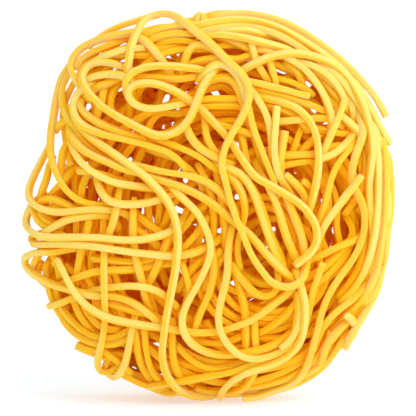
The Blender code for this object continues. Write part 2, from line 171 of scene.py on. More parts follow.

# Strands listed one by one on the front, each from one end to the other
FRONT = {
    "arch": [(126, 84, 3), (127, 72, 1), (129, 60, 0), (130.5, 50, 0), (133.5, 40, 0), (138, 30, 0),
        (145, 20, 0), (155, 15, 0), (165, 14, 0), (176, 17, 0), (190, 27, 0), (210, 43.5, 0), (230, 64, 0),
        (240, 73, 0), (247, 84, 0), (249, 95, 0), (246, 108, 0), (240, 121, 0), (233, 132, 0),
        (227, 144, 0.3), (223, 158, 0.3), (223, 168, 0.3), (226, 182, 0), (230, 200, 0), (234, 213, 0),
        (240, 228, 0), (252, 256, 0), (260, 268, 0), (270, 281, 0), (280, 286, 0), (288, 287, 0),
        (297, 284, 0), (303, 277, 0.5), (306, 267, 1.5), (308, 252, 3)],
    "upper_bar": [(212, 74, 2.5), (203, 70, 1), (190, 68.5, 0.6), (175, 66.5, 0.6), (160, 65.8, 0.6),
        (148, 67, 0.6), (138, 70, 0.6), (131, 74, 0.8), (127, 80, 1), (126, 88, 1.8), (130, 98, 3),
        (138, 106, 4)],
    "upper_bar_under": [(122, 80, 3), (133, 77, 2), (150, 77, 1.8), (175, 79, 1.8), (198, 77, 1.8),
        (215, 72, 2.6)],
    "oval": [(134, 71, 2.6), (124, 68, 1.2), (116, 64.5, 1), (107, 61.8, 1), (98, 61.8, 0.6), (90, 65, 0.3),
        (84.5, 71, 0), (82.5, 78, 0), (84, 85, 0), (88, 91.5, 0), (94, 98.5, 0), (100, 104.5, 0),
        (107, 110, 0), (115, 115, 0), (125, 120.5, 0), (135, 126, 0), (145, 131, 0), (155, 135, 0),
        (163, 136, 0), (172, 134, 0), (181, 129, 0), (188.5, 120, 0), (193.5, 110, 0), (197, 100, 0),
        (200, 90, 0), (204, 80, 0.3), (208.5, 71.5, 1.4), (214, 67, 2.6), (221, 66, 3.6)],
    "oval_inner": [(84, 86, 1.6), (90, 80, 0.8), (97, 77, 0.6), (106, 75, 0.6), (115, 74.5, 0.8),
        (124, 76, 1.2), (134, 82, 2)],
    "oval_inner_low": [(86, 88, 2.4), (96, 84, 1.8), (107, 83, 1.8), (118, 80, 2), (128, 76, 2.8)],
    "hook": [(198, 99, 4), (188, 103, 2), (178, 105.5, 1), (168, 107, 0.6), (158, 108.5, 0.5),
        (148, 108.5, 0.5), (139, 106.5, 0.4), (132, 102, 0.3), (128, 96, 0.3), (128, 90, 0.3),
        (132, 86, 0.3), (140, 83.5, 0.3), (150, 83, 0.3), (160, 85, 0.3), (170, 89, 0.3), (180, 94, 0.6),
        (190, 101, 1), (202, 110, 1), (211, 119.5, 0.6), (220, 129, 0.8), (228, 138, 1.2), (236, 150, 0.8),
        (244, 162, 0.3), (251, 172, 0.3), (258, 179, 0.3), (268, 184, 0.3), (280, 191, 0), (290, 197, 0),
        (299, 203, 0), (307, 211, 0), (313, 220, 0), (317, 230, 0), (317, 241, 0), (313, 250, 0),
        (306, 257, 0), (300, 261.5, 0), (295, 266, 0.2)],
    "brow": [(198, 82, 2.6), (206, 72, 1.4), (214, 65.5, 0.8), (223, 63.5, 0.8), (232, 68, 0.8),
        (239, 76, 0.8), (243, 86, 0.8), (246, 98, 0.9), (249, 110, 0.9), (252, 124, 0.8), (257, 138, 0.7),
        (263, 152, 0.8), (269, 166, 1), (276, 180, 1.4), (281, 196, 2)],
    "brow_under": [(196, 88, 3), (208, 80, 2), (220, 77, 1.8), (230, 79, 1.8), (237, 86, 1.8), (241, 96, 2),
        (246, 110, 2.4), (252, 130, 2.8), (258, 150, 3.2), (262, 166, 4), (266, 180, 5)],
    "short_diagonal": [(132, 31, 2.4), (140, 37, 1), (148, 44, 0.8), (155, 51.5, 0.8), (162, 60, 1),
        (169, 70, 1.6), (175, 80, 2.6)],
    "short_upright": [(222, 56, 3.4), (212, 49, 2.6), (202, 45.5, 2.2), (194, 46, 2), (188.5, 51, 1.9),
        (185, 59, 1.9), (182, 69, 2.4), (178, 80, 3.2)],
    "top_left_loop": [(150, 34, 2.8), (138, 33, 1.4), (130, 33.5, 1), (116, 36, 0.6), (105, 38.5, 0.5),
        (95, 42, 0.4), (85, 46.5, 0.3), (77, 53, 0.2), (73, 60, 0.2), (71.5, 67, 0.2), (74, 74, 0.4),
        (79, 81, 0.8), (86, 90, 1.6), (94, 100, 2.8)],
    "top_left_second": [(142, 31, 3.2), (127, 35, 2), (116, 40.3, 1.7), (105, 45.8, 1.6), (95, 50.8, 1.6),
        (86, 55.6, 1.6), (79, 61.5, 1.8), (75, 70, 2.6)],
    "left_hook": [(97, 84, 2.6), (86, 87, 1.4), (79, 92, 1), (75, 99, 0.7), (73.5, 107, 0.5),
        (76, 118, 0.5), (83, 126, 0.5), (93, 131, 0.6), (105, 135, 0.7), (120, 138.5, 0.8), (135, 142, 1),
        (150, 146, 1), (165, 151, 1.1), (178, 159, 1.3), (187, 171, 2.2)],
    "left_hook_inner": [(84, 97, 2), (80, 104, 1), (84, 112, 0.9), (94, 120, 0.9), (106, 126, 1),
        (119, 131, 1.2), (132, 135, 1.6), (146, 141, 2.2)],
    "outer_left": [(76, 60, 3.2), (68, 68, 2.2), (62, 78, 1.6), (58.5, 90, 1.2), (56, 103, 1),
        (54, 118, 0.8), (51.8, 133, 0.8), (51, 148, 0.8), (53, 162, 0.8), (57.5, 175, 0.8), (64, 187, 0.9),
        (73, 197, 1), (85, 204, 1.1), (100, 207, 1.3), (116, 208, 1.8), (128, 209, 2.6)],
    "outer_left_inner": [(70, 72, 3.2), (64.5, 84, 2.6), (62.5, 96, 2.2), (63.5, 106, 2.1), (68, 118, 2),
        (74, 131, 2.1), (83, 142, 2.4), (95, 151, 2.8), (108, 160, 3.2)],
    "first_sweep": [(65, 110, 3.2), (67.5, 120, 2.2), (71, 131, 1.2), (76, 141, 0.8), (83, 149, 0.6),
        (94, 155.5, 0.5), (108, 161, 0.5), (125, 167, 0.8), (140, 171, 1), (156, 178, 1), (175, 185, 1),
        (190, 191, 1), (205, 199, 1), (218, 208, 1), (230, 218, 1), (245, 230, 1.1), (255, 240, 1.1),
        (265, 251, 1.1), (277, 264, 1.6), (288, 276, 2.8), (297, 287, 4), (303, 300, 5)],
    "second_sweep": [(68, 124, 3.2), (70, 136, 2), (73, 148, 1.1), (78, 158, 0.8), (85, 166, 0.6),
        (94, 173, 0.5), (104, 178.5, 0.4), (115, 183, 0.4), (130, 185.5, 0.6), (145, 187.5, 0.9),
        (160, 189, 1.6), (178, 192, 2.4)],
    "cut_stub": [(77, 171, 0.9), (88, 171.5, 1.1), (100, 174, 1.8), (114, 178, 3.2), (128, 182, 4.4)],
    "long_j": [(68, 108, 2.4), (75, 122, 1.2), (84, 132, 0.8), (95, 141, 0.6), (107, 149, 0.5),
        (118, 156.5, 0.3), (130, 165, 0.2), (143, 174.5, 0), (155, 186, 0), (165, 198, 0), (172, 210, 0),
        (176, 223, 0), (178, 237, 0), (177, 255, 0), (175, 272, 0), (172, 288, 0), (168, 308, 0),
        (165, 325, 0), (162.5, 345, 0), (162.5, 358, 0), (166, 372, 0), (174, 384, 0), (184, 392.5, 0),
        (196, 398, 0), (208, 401, 0.2), (222, 401.5, 0.8), (236, 398, 2)],
    "third_sweep": [(108, 158, 2), (122, 165, 1), (137, 168, 0.8), (152, 170.5, 0.8), (168, 173, 0.8),
        (184, 175, 0.8), (200, 179, 0.9), (213, 186, 1), (224, 196, 1.1), (233, 207, 1.6), (242, 220, 2.6)],
    "inner_u": [(96, 172, 2), (98, 182, 1), (101, 191, 0.8), (107, 199, 0.6), (117, 203.5, 0.6),
        (130, 204.5, 0.6), (145, 203, 0.8), (158, 199, 1), (172, 193, 1.6), (186, 184, 2.8)],
    "mid_upper_one": [(146, 138, 2.4), (160, 142, 1.6), (180, 148, 1.5), (200, 155.5, 1.5), (216, 164, 1.9),
        (226, 172, 2.8), (234, 184, 3.8)],
    "mid_upper_two": [(184, 122, 2), (187.5, 131, 1.1), (193, 141, 1.1), (201, 149.5, 1.1), (211, 156, 1.2),
        (221, 161.5, 1.6), (234, 165, 2.4)],
    "mid_upper_three": [(146, 147, 4.6), (155, 151, 3.4), (168, 156, 2.6), (182, 163, 2.4), (196, 175, 2.6),
        (206, 190, 3)],
    "inner_right_one": [(212, 158, 3.4), (217, 164, 2.2), (226, 168.5, 1.2), (238, 173, 0.8),
        (246, 180, 0.8), (252.5, 191, 0.9), (257, 203, 1), (262, 218, 1), (267, 233, 1), (272, 248, 1.2),
        (279, 263, 1.7), (288, 275, 2.8), (296, 287, 3.8), (301, 299, 4.8)],
    "inner_right_two": [(224, 170, 2.2), (232, 177, 1.3), (239, 187, 1.1), (243.5, 199, 1.1),
        (245, 211, 1.3), (243, 223, 1.6), (238, 238, 1.8), (236, 254, 2.2), (238, 270, 2.6)],
    "second_loop": [(168, 186, 2.6), (176, 194, 1.4), (186, 202.5, 0.9), (196, 212, 0.6), (204, 225, 0.5),
        (209.5, 240, 0.4), (210.5, 252, 0.4), (206, 267, 0.4), (198, 284, 0.4), (190, 298, 0.4),
        (184, 311, 0.4), (182, 322, 0.4), (184.5, 333, 0.4), (191, 342.5, 0.4), (202, 350, 0.5),
        (214, 354, 0.6), (228, 355, 1), (246, 352.5, 1.2), (260, 349.5, 1.2), (272, 345.5, 1.3),
        (283, 340, 1.6), (293, 331, 2.4)],
    "loop_cut_end": [(280.5, 348.5, 0.1), (287, 343.5, 0.1), (293, 336, 0.2), (297, 326, 0.4),
        (299, 315, 0.9), (299.5, 303, 1.7), (298, 290, 2.8)],
    "under_five": [(188, 338, 3.4), (200, 341, 2.6), (214, 343, 2.4), (230, 341, 2.5), (244, 336, 2.8),
        (258, 328, 3.4)],
    "under_six": [(206, 320, 4.4), (212, 334, 3.6), (223, 346, 3.4), (238, 348, 3.6), (252, 342, 4.2)],
    "low_left_five": [(78, 262, 4.2), (84, 274, 3.4), (91, 286, 3.2), (97, 298, 3.2), (101, 310, 3.6),
        (104, 322, 4.2)],
    "dark_deep_one": [(101, 210, 5.4), (97, 222, 5), (93, 234, 5), (88, 246, 5.4)],
    "inner_loop": [(233, 225, 2.4), (230, 238, 1.2), (228, 253, 0.7), (228, 268, 0.4), (225.5, 284, 0.3),
        (221, 301, 0.3), (218.5, 316, 0.3), (220.5, 331, 0.3), (228, 344, 0.3), (238, 353, 0.3),
        (250, 357.5, 0.4), (262, 357.5, 0.4), (274, 354.5, 0.4), (285, 349, 0.4), (294, 341, 0.7),
        (301, 330, 1.8)],
    "outer_loop": [(293, 270, 2.2), (298, 281, 1), (301, 291, 0.4), (303.5, 302, 0.2), (304, 314, 0),
        (303, 327, 0), (300, 339, 0), (294, 349, 0), (286, 356.5, 0), (277, 361.5, 0), (265, 366, 0),
        (250, 370, 0), (238, 376, 0), (229, 383, 0), (222.5, 391, 0), (218.5, 400.5, 0)],
    "small_under_loop": [(260, 362, 2), (255, 370, 1.2), (250, 380, 0.9), (243, 388, 0.8), (234, 393, 0.8),
        (224, 396, 1.2), (210, 397, 1.8), (195, 392, 2.4)],
    "left_loop_high": [(50, 145, 2.4), (46, 152, 1.8), (42, 160, 1.1), (37, 170, 0.6), (32.5, 180, 0.4),
        (29.3, 190, 0.3), (30, 199, 0.3), (35, 205, 0.3), (44, 210, 0.35), (56, 213, 0.5), (70, 213.5, 0.7),
        (84, 212, 0.9), (98, 210.5, 1.1), (114, 210, 1.4), (128, 213, 2.4), (137, 221, 3.8), (144, 232, 5)],
    "left_loop_mid": [(44, 196, 3), (37, 201, 2.2), (31.5, 207, 1.4), (28, 214, 0.9), (26, 221, 0.6),
        (28, 228, 0.5), (35, 232.5, 0.4), (46, 235.5, 0.35), (60, 237, 0.3), (80, 237.5, 0.3),
        (100, 238, 0.3), (120, 240, 0.3), (140, 240, 0.3), (155, 237.5, 0.5), (166, 234.5, 1),
        (176, 230, 2), (184, 222, 3.2), (188, 210, 4)],
    "left_loop_upper_branch": [(38, 236, 1.8), (47, 230, 0.9), (57, 223.5, 0.7), (68, 217.5, 0.7),
        (82, 213.5, 0.8), (96, 212.5, 1.4), (108, 214, 2.8), (115, 221, 4.2), (118, 230, 5)],
    "left_bar": [(42, 234, 2.4), (34, 236, 1.7), (29.5, 240, 1.1), (33, 243.8, 0.7), (44, 244.3, 0.5),
        (58, 244, 0.4), (78, 244.8, 0.4), (100, 247, 0.4), (118, 250, 0.4), (136, 252.5, 0.5),
        (155, 254.5, 0.8), (175, 256, 1.2), (192, 254, 1), (205, 250.5, 1.4), (215, 246, 2.2),
        (226, 238, 3.4), (234, 228, 4)],
    "left_loop_low": [(84, 246, 4.2), (68, 249, 3), (54, 252, 1.8), (40, 252.5, 1), (31, 254, 0.6),
        (25.5, 258, 0.4), (26, 265, 0.3), (32, 272, 0.3), (42, 279, 0.3), (54, 285, 0.4), (70, 289.5, 0.6),
        (88, 293, 0.8), (104, 294, 1), (120, 297, 1), (134, 303, 1), (146, 311.5, 1.1), (158, 322, 1.6),
        (170, 334, 2.6)],
    "cut_bar": [(49, 306, 0.5), (60, 303, 0.5), (72, 299, 0.8), (84, 295.5, 1), (98, 292, 0.8),
        (114, 288.5, 0.6), (130, 286.3, 0.5), (145, 287, 0.6), (157, 291, 0.9), (168, 298, 1.6),
        (178, 308, 2.6)],
    "bottom_sweep": [(57, 259, 0.6), (61.5, 267, 0.3), (67, 278, 0.2), (74, 290, 0.1), (82, 300, 0),
        (91, 308, 0), (102, 314.5, 0), (116, 319.5, 0), (130, 322.5, 0.1), (145, 325, 0.3), (160, 327, 0.7),
        (176, 330, 1), (192, 332.5, 0.9), (206, 333, 0.9), (220, 331.5, 1), (234, 327, 0.9),
        (248, 321.5, 0.9), (260, 314.5, 1), (272, 305, 1.2), (284, 295, 1.8), (294, 284, 2.8)],
    "left_post": [(121, 186, 2.6), (118, 197, 1.4), (116, 210, 0.9), (112, 225, 0.8), (107.5, 238, 1),
        (104.5, 250, 0.9), (104, 265, 0.4), (104.5, 280, 0.4), (105, 296, 0.5), (105, 312, 0.6),
        (104.5, 326, 0.5), (102.5, 340, 0.3), (99.5, 354, 0.2), (98, 363, 0.2), (100, 369.5, 0.3),
        (106, 371.5, 0.8), (113, 370, 1.8), (122, 364, 2.8)],
    "knot_loop": [(137, 312, 2.4), (133.5, 326, 1.2), (131, 338, 0.7), (128.5, 350, 0.4), (126, 361, 0.3),
        (122, 370, 0.2), (116, 376.5, 0.2), (109.5, 377, 0.3), (105, 371.5, 0.9), (106.5, 364, 1.6),
        (112, 358, 2.6)],
    "knot_strap": [(92, 342, 2.6), (101, 350, 1.4), (108, 355.5, 0.9), (116, 361, 0.7), (123, 367, 0.9),
        (131, 374, 1.6)],
    "mid_post": [(134, 198, 2), (133, 212, 1.1), (132.5, 228, 0.9), (133.5, 244, 1.2), (136.5, 260, 1),
        (140, 274, 0.8), (143.5, 288, 1.1), (147, 302, 1.6), (152, 316, 2.6)],
    "foot_bar": [(149, 386, 0.6), (162, 384.5, 0.7), (178, 381.5, 0.9), (194, 378.5, 0.9), (212, 375, 1),
        (230, 371.5, 1.1), (248, 366, 1.2), (264, 359, 2)],
    "right_foot": [(242, 397.5, 0.5), (255, 396, 0.4), (268, 392, 0.4), (282, 387.5, 0.4), (294, 381, 0.4),
        (303, 371, 0.4), (309, 358, 0.5), (313, 345, 0.5), (317, 331, 0.6), (320.5, 317, 0.7),
        (325, 303, 0.8), (331.5, 290, 0.8), (340, 277, 0.8), (349, 265, 0.9), (357, 252, 0.9),
        (362.5, 238, 0.9), (365, 224, 0.9), (364, 208, 0.8), (359, 196, 0.7), (354, 186, 0.8),
        (352, 174, 0.8), (354, 160, 0.7), (358, 146, 0.7), (361.5, 132, 0.7), (362, 118, 0.8),
        (357, 102, 0.9), (349, 86, 1), (337, 72, 1.2), (322, 63, 1.5), (306, 60, 2)],
    "side_post": [(172, 318, 2.4), (172.5, 334, 1.5), (172.5, 348, 1.3), (174, 362, 1.2), (178, 375, 1.4),
        (186, 386, 2.2), (194, 391.5, 3.4), (204, 396, 4.6)],
    "left_foot": [(142, 318, 3.2), (144.5, 332, 2), (145.5, 346, 1.6), (148, 360, 1.3), (152, 372, 1.2),
        (159, 383, 1.4), (168, 391, 1.8), (180, 397, 2.4)],
    "left_foot_two": [(133, 324, 3.2), (136, 338, 2.2), (138, 352, 1.9), (141.5, 366, 1.9), (148, 378, 2.1),
        (157, 388, 2.8)],
    "brown_foot": [(118, 366, 1.8), (125, 374.5, 1.6), (134, 380.5, 1.5), (145, 384.5, 1.6),
        (158, 390, 1.6), (172, 395, 1.6), (188, 399.5, 1.4), (206, 402.2, 1.2), (224, 402.3, 1.2),
        (240, 400.8, 1.3), (256, 398, 1.8)],
    "block_end": [(78, 343.5, 0.9), (88, 347.8, 0.9), (99, 350.5, 1.3), (112, 353, 2.1), (128, 355, 3)],
    "block_end_two": [(76.5, 347.5, 1.6), (87, 351.5, 1.5), (98, 355.5, 1.7), (112, 360, 2.4),
        (126, 366, 3.4)],
    "low_left_rim": [(40, 276, 2.6), (46, 288, 1.6), (48, 298, 1), (48, 306, 0.9), (54, 312, 0.7),
        (60, 320, 0.7), (68, 328.5, 0.7), (78, 336, 0.7), (90, 341.5, 0.8), (104, 343.5, 1),
        (118, 341.5, 1.2), (130, 336, 2), (140, 328, 3.2), (148, 319, 4.2)],
    "low_left_rim_two": [(60, 305, 2.4), (66, 314, 1.5), (74, 323, 1.4), (84, 331, 1.4), (96, 337, 1.5),
        (110, 339, 1.8), (124, 334, 2.6), (136, 326, 3.6), (146, 317, 4.6)],
    "left_curl_low": [(36, 262, 2.8), (32.5, 270, 1.7), (33.5, 278, 1.3), (38, 285.5, 1.2),
        (44.5, 292, 1.4), (50, 300, 2.4)],
    "upper_right_bar": [(196, 33.8, 2.8), (205, 33.5, 1.5), (216, 33.8, 1), (230, 35.5, 0.8),
        (245, 38.5, 0.7), (260, 42.5, 0.6), (275, 46.5, 0.7), (288, 51, 1.2), (300, 58, 2.2)],
    "right_sweep": [(232, 78, 2.4), (241, 72, 1.3), (250, 66.5, 0.9), (262, 60.5, 0.6), (275, 56, 0.5),
        (290, 53.5, 0.4), (305, 54.5, 0.4), (320, 58.5, 0.4), (333, 65, 0.4), (345, 76, 0.4),
        (354, 89, 0.4), (361, 103, 0.5), (366, 118, 0.5), (369.5, 134, 0.5), (371, 150, 0.6),
        (370, 166, 0.7), (368.5, 184, 0.8), (370, 204, 0.8), (372, 224, 0.9), (371, 244, 1.2),
        (366, 262, 2)],
    "steep_one": [(249, 38, 2.6), (252, 48, 1.8), (254.5, 58, 1.7), (259, 67, 1.7), (265, 75, 1.8),
        (272, 84, 2.6)],
    "right_bar": [(240, 80, 2), (248, 82, 1.2), (260, 84, 1), (272, 87, 0.9), (285, 90, 0.8),
        (297, 93.5, 0.7), (309, 96.5, 0.7)],
    "right_bar_two": [(250, 88, 2.4), (262, 90, 1.6), (276, 94, 1.5), (290, 98, 1.4), (305, 103, 1.3),
        (318, 108.5, 1.3), (330, 115, 1.8), (340, 124, 2.8)],
    "right_arc": [(242, 92, 2.6), (252, 95, 1.6), (262, 97.5, 1.2), (273, 100, 1), (284, 103, 0.8),
        (294, 107, 0.7), (303, 113.5, 0.6), (310, 122, 0.6), (315, 132, 0.6), (318, 145, 0.6),
        (319, 160, 0.6), (317.5, 175, 0.7), (315, 190, 0.8), (311, 204, 1.2), (307, 218, 2.2)],
    "right_arc_outer": [(281, 55, 2.6), (292, 60.5, 1.4), (302, 67, 1), (310, 75, 0.8), (317, 84, 0.8),
        (323, 94, 0.8), (328, 106, 0.8), (331, 118, 0.9), (331, 130, 1.3), (328, 144, 2.2)],
    "cut_upright": [(342.5, 101, 0.5), (340, 111, 0.4), (335.5, 121, 0.4), (331, 131, 0.4),
        (326.5, 141, 0.7), (321, 153, 1.6), (316, 166, 2.8)],
    "cut_down_one": [(276, 106, 0.6), (275, 120, 0.5), (274, 135, 0.5), (274, 150, 0.5), (276, 163, 0.7),
        (280, 176, 1.1), (286, 187, 2), (293, 198, 3.2), (301, 208, 4.4)],
    "cut_down_two": [(285, 131, 0.9), (282.5, 145, 0.8), (280.5, 158, 0.9), (281, 172, 1.3),
        (285, 184, 2.4), (290, 196, 3.6), (297, 207, 4.8)],
    "fan_one": [(243, 76, 2.4), (249, 86, 1.1), (256, 96, 0.6), (263, 107, 0.5), (268.5, 119, 0.5),
        (271.5, 132, 0.6), (273, 146, 0.9), (273, 160, 1.4), (274, 175, 2.4)],
    "slant": [(334, 110, 2.2), (342, 117, 1.3), (350, 124, 1.2), (358, 132, 1.5), (366, 142, 2.4)],
    "rung_one": [(275, 157, 2.2), (285, 155.5, 1.5), (300, 154.5, 1.4), (314, 153, 1.7), (328, 150, 2.4)],
    "rung_two": [(316, 158, 2.2), (324, 156.5, 1.2), (333, 153.5, 0.9), (342, 147.5, 0.9), (350, 140, 1.1),
        (357, 130, 1.7), (362, 120, 2.6)],
    "cut_diagonal": [(360.5, 176, 0.1), (354, 185, 0), (347, 194, 0), (340, 204, 0), (333, 213.5, 0),
        (326.5, 223, 0.2), (321, 233, 0.8), (317, 245, 2)],
    "right_inner_post": [(356, 133, 2.4), (350, 145, 1.4), (342, 156, 1.2), (335.5, 167, 1.1),
        (331, 179, 1), (328, 191, 1), (325, 203, 1.1), (321, 216, 1.4), (316, 230, 2.2)],
    "rounded_end": [(323, 263, 0.7), (319.5, 273, 0.7), (315, 285, 0.8), (311, 297, 1.1), (308, 311, 1.8),
        (305, 326, 2.6)],
    "cross_low": [(304, 262, 3.6), (313, 258, 2.9), (325, 252.5, 2.6), (338, 246, 2.7), (348, 241.5, 3.1),
        (358, 237, 3.6), (368, 233, 4.4), (376, 230, 5.4)],
    "low_right_one": [(375, 275, 2.8), (369, 284, 1.8), (361, 293.5, 0.9), (350, 302, 0.7), (340, 309, 0.6),
        (331, 317, 0.6), (324, 325.5, 0.8), (318, 336, 1.4), (312, 350, 2.4)],
    "low_right_two": [(352, 318, 1.2), (343, 325, 0.7), (335, 332.5, 0.5), (328, 341, 0.5), (323, 351, 0.5),
        (321, 362, 0.6), (316, 371, 1), (306, 379, 1.8)],
    "low_right_three": [(384, 262, 1.4), (381, 276, 0.9), (376, 290, 0.7), (369.5, 303, 0.6),
        (362.5, 315, 0.6), (355.5, 326, 0.7), (348, 337, 0.9), (344, 348, 1)],
    "down_one": [(258, 158, 4.4), (263, 171, 3), (270, 184, 1.8), (275.5, 197, 1.4), (279.5, 211, 1.2),
        (283, 225, 1.2), (287, 238, 1.2), (292, 250, 1.5), (298, 262, 2.4)],
    "down_two": [(280, 186, 2), (286, 197, 1.2), (291, 209, 1), (296, 221, 1), (300.5, 232, 1.1),
        (304, 244, 1.5), (306, 256, 2.4)],
    "down_three": [(252, 186, 2.8), (259, 200, 2.2), (264, 215, 1.9), (268, 229, 1.9), (273, 242, 2),
        (279, 255, 2.2), (284, 270, 2.8)],
    "curl_low": [(232, 262, 3), (238, 272, 2), (246, 283, 1.5), (254, 292, 1.3), (263, 296.5, 1.2),
        (272, 295, 1.2), (278, 288, 1.4), (280, 277, 1.9), (279, 264, 2.8)],
    "under_one": [(212, 250, 2.8), (214, 264, 2), (213, 280, 1.7), (208, 296, 1.6), (201, 311, 1.6),
        (196, 324, 1.8), (194, 338, 2.6)],
    "under_two": [(236, 262, 3), (238, 276, 2.2), (241, 290, 1.9), (244, 304, 1.7), (245.5, 318, 1.8),
        (245.5, 332, 1.9), (245.5, 346, 2.4), (247, 359, 3.4)],
    "under_three": [(254, 318, 2.6), (254.5, 330, 1.9), (255, 342, 1.9), (258, 353, 2.6), (262, 364, 3.6)],
    "under_four": [(176, 344, 2.6), (184, 354, 1.9), (194, 362, 1.7), (206, 367, 1.7), (220, 369, 1.8),
        (234, 366, 2.2), (248, 360, 2.8)],
    "left_mid_bar": [(58, 282, 3), (68, 278.5, 2.2), (78, 275.8, 1.8), (88, 273, 1.4), (100, 271, 1.5),
        (114, 270.5, 1.4), (128, 270, 1.4), (142, 268.5, 1.7), (156, 265, 2), (170, 262, 2.6),
        (184, 258, 3.6)],
    "left_mid_bar_two": [(92, 258, 2.6), (108, 260, 2), (124, 262, 1.9), (140, 262, 2.2), (156, 259, 2.6),
        (170, 255, 3.2), (186, 250, 4.2)],
    "dark_post_one": [(90, 214, 2.8), (88, 226, 2.2), (85, 238, 2.4), (82, 252, 2.8), (79, 268, 3.2),
        (77, 286, 4)],
    "dark_post_two": [(148, 194, 5.4), (148.5, 210, 5), (149.5, 223, 4.6), (152, 236, 4.4), (157, 250, 5)],
    "dark_post_three": [(160, 194, 5.8), (159.5, 210, 5.4), (160.5, 223, 5), (164, 236, 4.8),
        (170, 248, 5.4)],
    "low_centre_slant": [(108, 303, 2.2), (122, 307, 1.8), (136, 311, 1.8), (150, 315, 2), (164, 322, 2.8)],
    "right_of_j": [(181, 262, 2.8), (186, 276, 2), (189, 290, 2.2), (186, 304, 2.4), (180, 318, 2.8)],
    "cross_mid": [(184, 292, 2.8), (192, 283, 2.2), (201, 274, 2.1), (211, 262, 2.4), (222, 248, 3)],
    "rim_a": [(200, 23, 2.2), (207, 19, 1.2), (216, 16, 0.6), (228, 14, 0.4), (241, 13, 0.3),
        (258, 15.8, 0.2), (280, 21.5, 0.2), (300, 31.5, 0.2), (325, 48.5, 0.2), (350, 69, 0.2),
        (370, 91, 0.2), (380, 105, 0.3), (386, 117, 0.4)],
    "rim_b": [(189, 28, 2.8), (199, 24.5, 1.2), (218, 21.5, 0.5), (240, 20, 0.4), (262, 23, 0.4),
        (282, 30, 0.4), (300, 40, 0.4), (322, 54.5, 0.4), (342, 71.5, 0.4), (358, 91, 0.4), (371, 112, 0.4),
        (381, 131, 0.4), (389, 143, 0.5)],
    "rim_c": [(196, 33, 2.4), (212, 28, 1.3), (230, 26.5, 1), (250, 27.5, 0.9), (272, 33, 0.8),
        (292, 43, 0.8), (312, 57, 1), (332, 72, 1), (349, 91, 0.9), (362, 112, 0.8), (372, 134, 0.6),
        (376, 156, 0.5), (377, 180, 0.5), (376.5, 205, 0.6), (374, 230, 0.7), (369, 254, 0.8),
        (361, 276, 1), (351, 292, 1.4), (340, 304, 2.4)],
    "rim_d": [(385, 140, 1.6), (387.5, 155, 0.6), (389.5, 172, 0.4), (390.3, 190, 0.3), (389.5, 210, 0.3),
        (387, 228, 0.3), (385, 243, 0.3), (384.5, 254, 0.4), (384, 264.5, 0.5)],
    "rim_e": [(370, 106, 2), (378, 124, 0.9), (382.5, 144, 0.6), (384.5, 166, 0.5), (384.5, 190, 0.5),
        (383.5, 214, 0.5), (381.5, 234, 0.5), (379, 252, 0.6), (375.5, 270, 0.7), (369, 286, 0.9),
        (360, 300, 1.4), (349, 313, 2.2), (337, 325, 3.2), (325, 335, 4.4)],
    "rim_f": [(343, 84, 2.6), (354, 100, 1.8), (363, 120, 1.5), (368, 144, 1.4), (374, 168, 1.2),
        (375.5, 194, 1.2), (374, 220, 1.2), (369, 246, 1.3), (361, 268, 1.8), (350, 284, 2.8),
        (338, 298, 4)],
    "rim_g": [(228, 14, 2.4), (246, 12.5, 1), (262, 17, 1), (284, 26, 1), (304, 37, 1.1), (324, 52, 1.4),
        (340, 66, 2.2)],
    "rim_top_left": [(88, 47, 2.6), (98, 38, 1.6), (109, 31, 1), (120, 26, 0.8), (132, 22, 0.8),
        (146, 18, 1.2), (160, 14, 2.4)],
    "rim_behind_arch": [(134, 40, 3), (146, 33.5, 2), (160, 29, 1.6), (176, 26, 1.5), (194, 25.5, 1.6),
        (212, 27, 2.4)],
    "rim_behind_two": [(136, 50, 3), (150, 41, 2.6), (164, 36, 2.4), (182, 33.5, 2.4), (202, 33.5, 2.8)],
    "rim_behind_three": [(138, 60, 3.4), (150, 48, 3), (166, 42, 2.8), (184, 40, 2.8), (202, 43, 2.8),
        (216, 52, 3.2)],
    "knob": [(200.5, 27, 2.2), (199.3, 20, 1.3), (200.2, 15.6, 0.9), (203, 14.2, 0.8), (205.6, 16, 1),
        (206, 21, 1.4), (205, 28, 2.2)],
    "rim_low_a": [(352, 330, 1.6), (343, 343, 0.9), (333, 355, 0.7), (322, 367, 0.6), (308, 378, 0.5),
        (293, 386, 0.5), (276, 393, 0.6), (258, 400, 0.9), (240, 403, 1.6)],
    "rim_low_b": [(330, 330, 2.4), (326, 344, 1.8), (318, 358, 1.5), (306, 370, 1.3), (290, 379, 1.3),
        (272, 384, 1.5), (252, 388, 1.9), (232, 390, 2.6)],
    "beside_j": [(145, 291, 3), (153, 275, 2.2), (160, 260, 1.7), (166, 246, 1.7), (172, 232, 2.2),
        (178, 218, 3.2)],
    "centre_rise": [(176, 256, 3.6), (184, 247, 2.8), (194, 237, 2.5), (202, 228, 2.7), (209, 216, 3.4)],
    "centre_rise_two": [(172, 236, 3.8), (181, 226, 3), (188, 217, 2.8), (196, 209, 3.2), (206, 203, 4)],
    "centre_cross": [(130, 214, 4), (140, 221, 3), (150, 227.5, 2.6), (161, 233, 2.6), (173, 240, 3),
        (184, 249, 4)],
    "centre_cross_two": [(136, 228, 4.2), (145, 235, 3.2), (154, 242, 2.9), (163, 250, 3.2), (170, 260, 4)],
    "low_rise": [(178, 292, 3.6), (186, 278, 2.8), (195, 266, 2.6), (205, 257, 2.8), (216, 248, 3.6)],
    "low_rise_two": [(204, 290, 3.4), (209, 277, 2.9), (216, 264, 3), (225, 253, 3.4), (235, 245, 4.2)],
    "centre_post": [(213, 148, 3.4), (217, 164, 2.5), (220, 182, 2.1), (222, 200, 2.1), (223.5, 218, 2.3),
        (224, 236, 2.8), (222, 254, 3.6)],
    "centre_post_two": [(196, 164, 3.6), (203, 178, 3), (209, 194, 2.9), (213, 212, 3), (214, 230, 3.4),
        (212, 250, 4)],
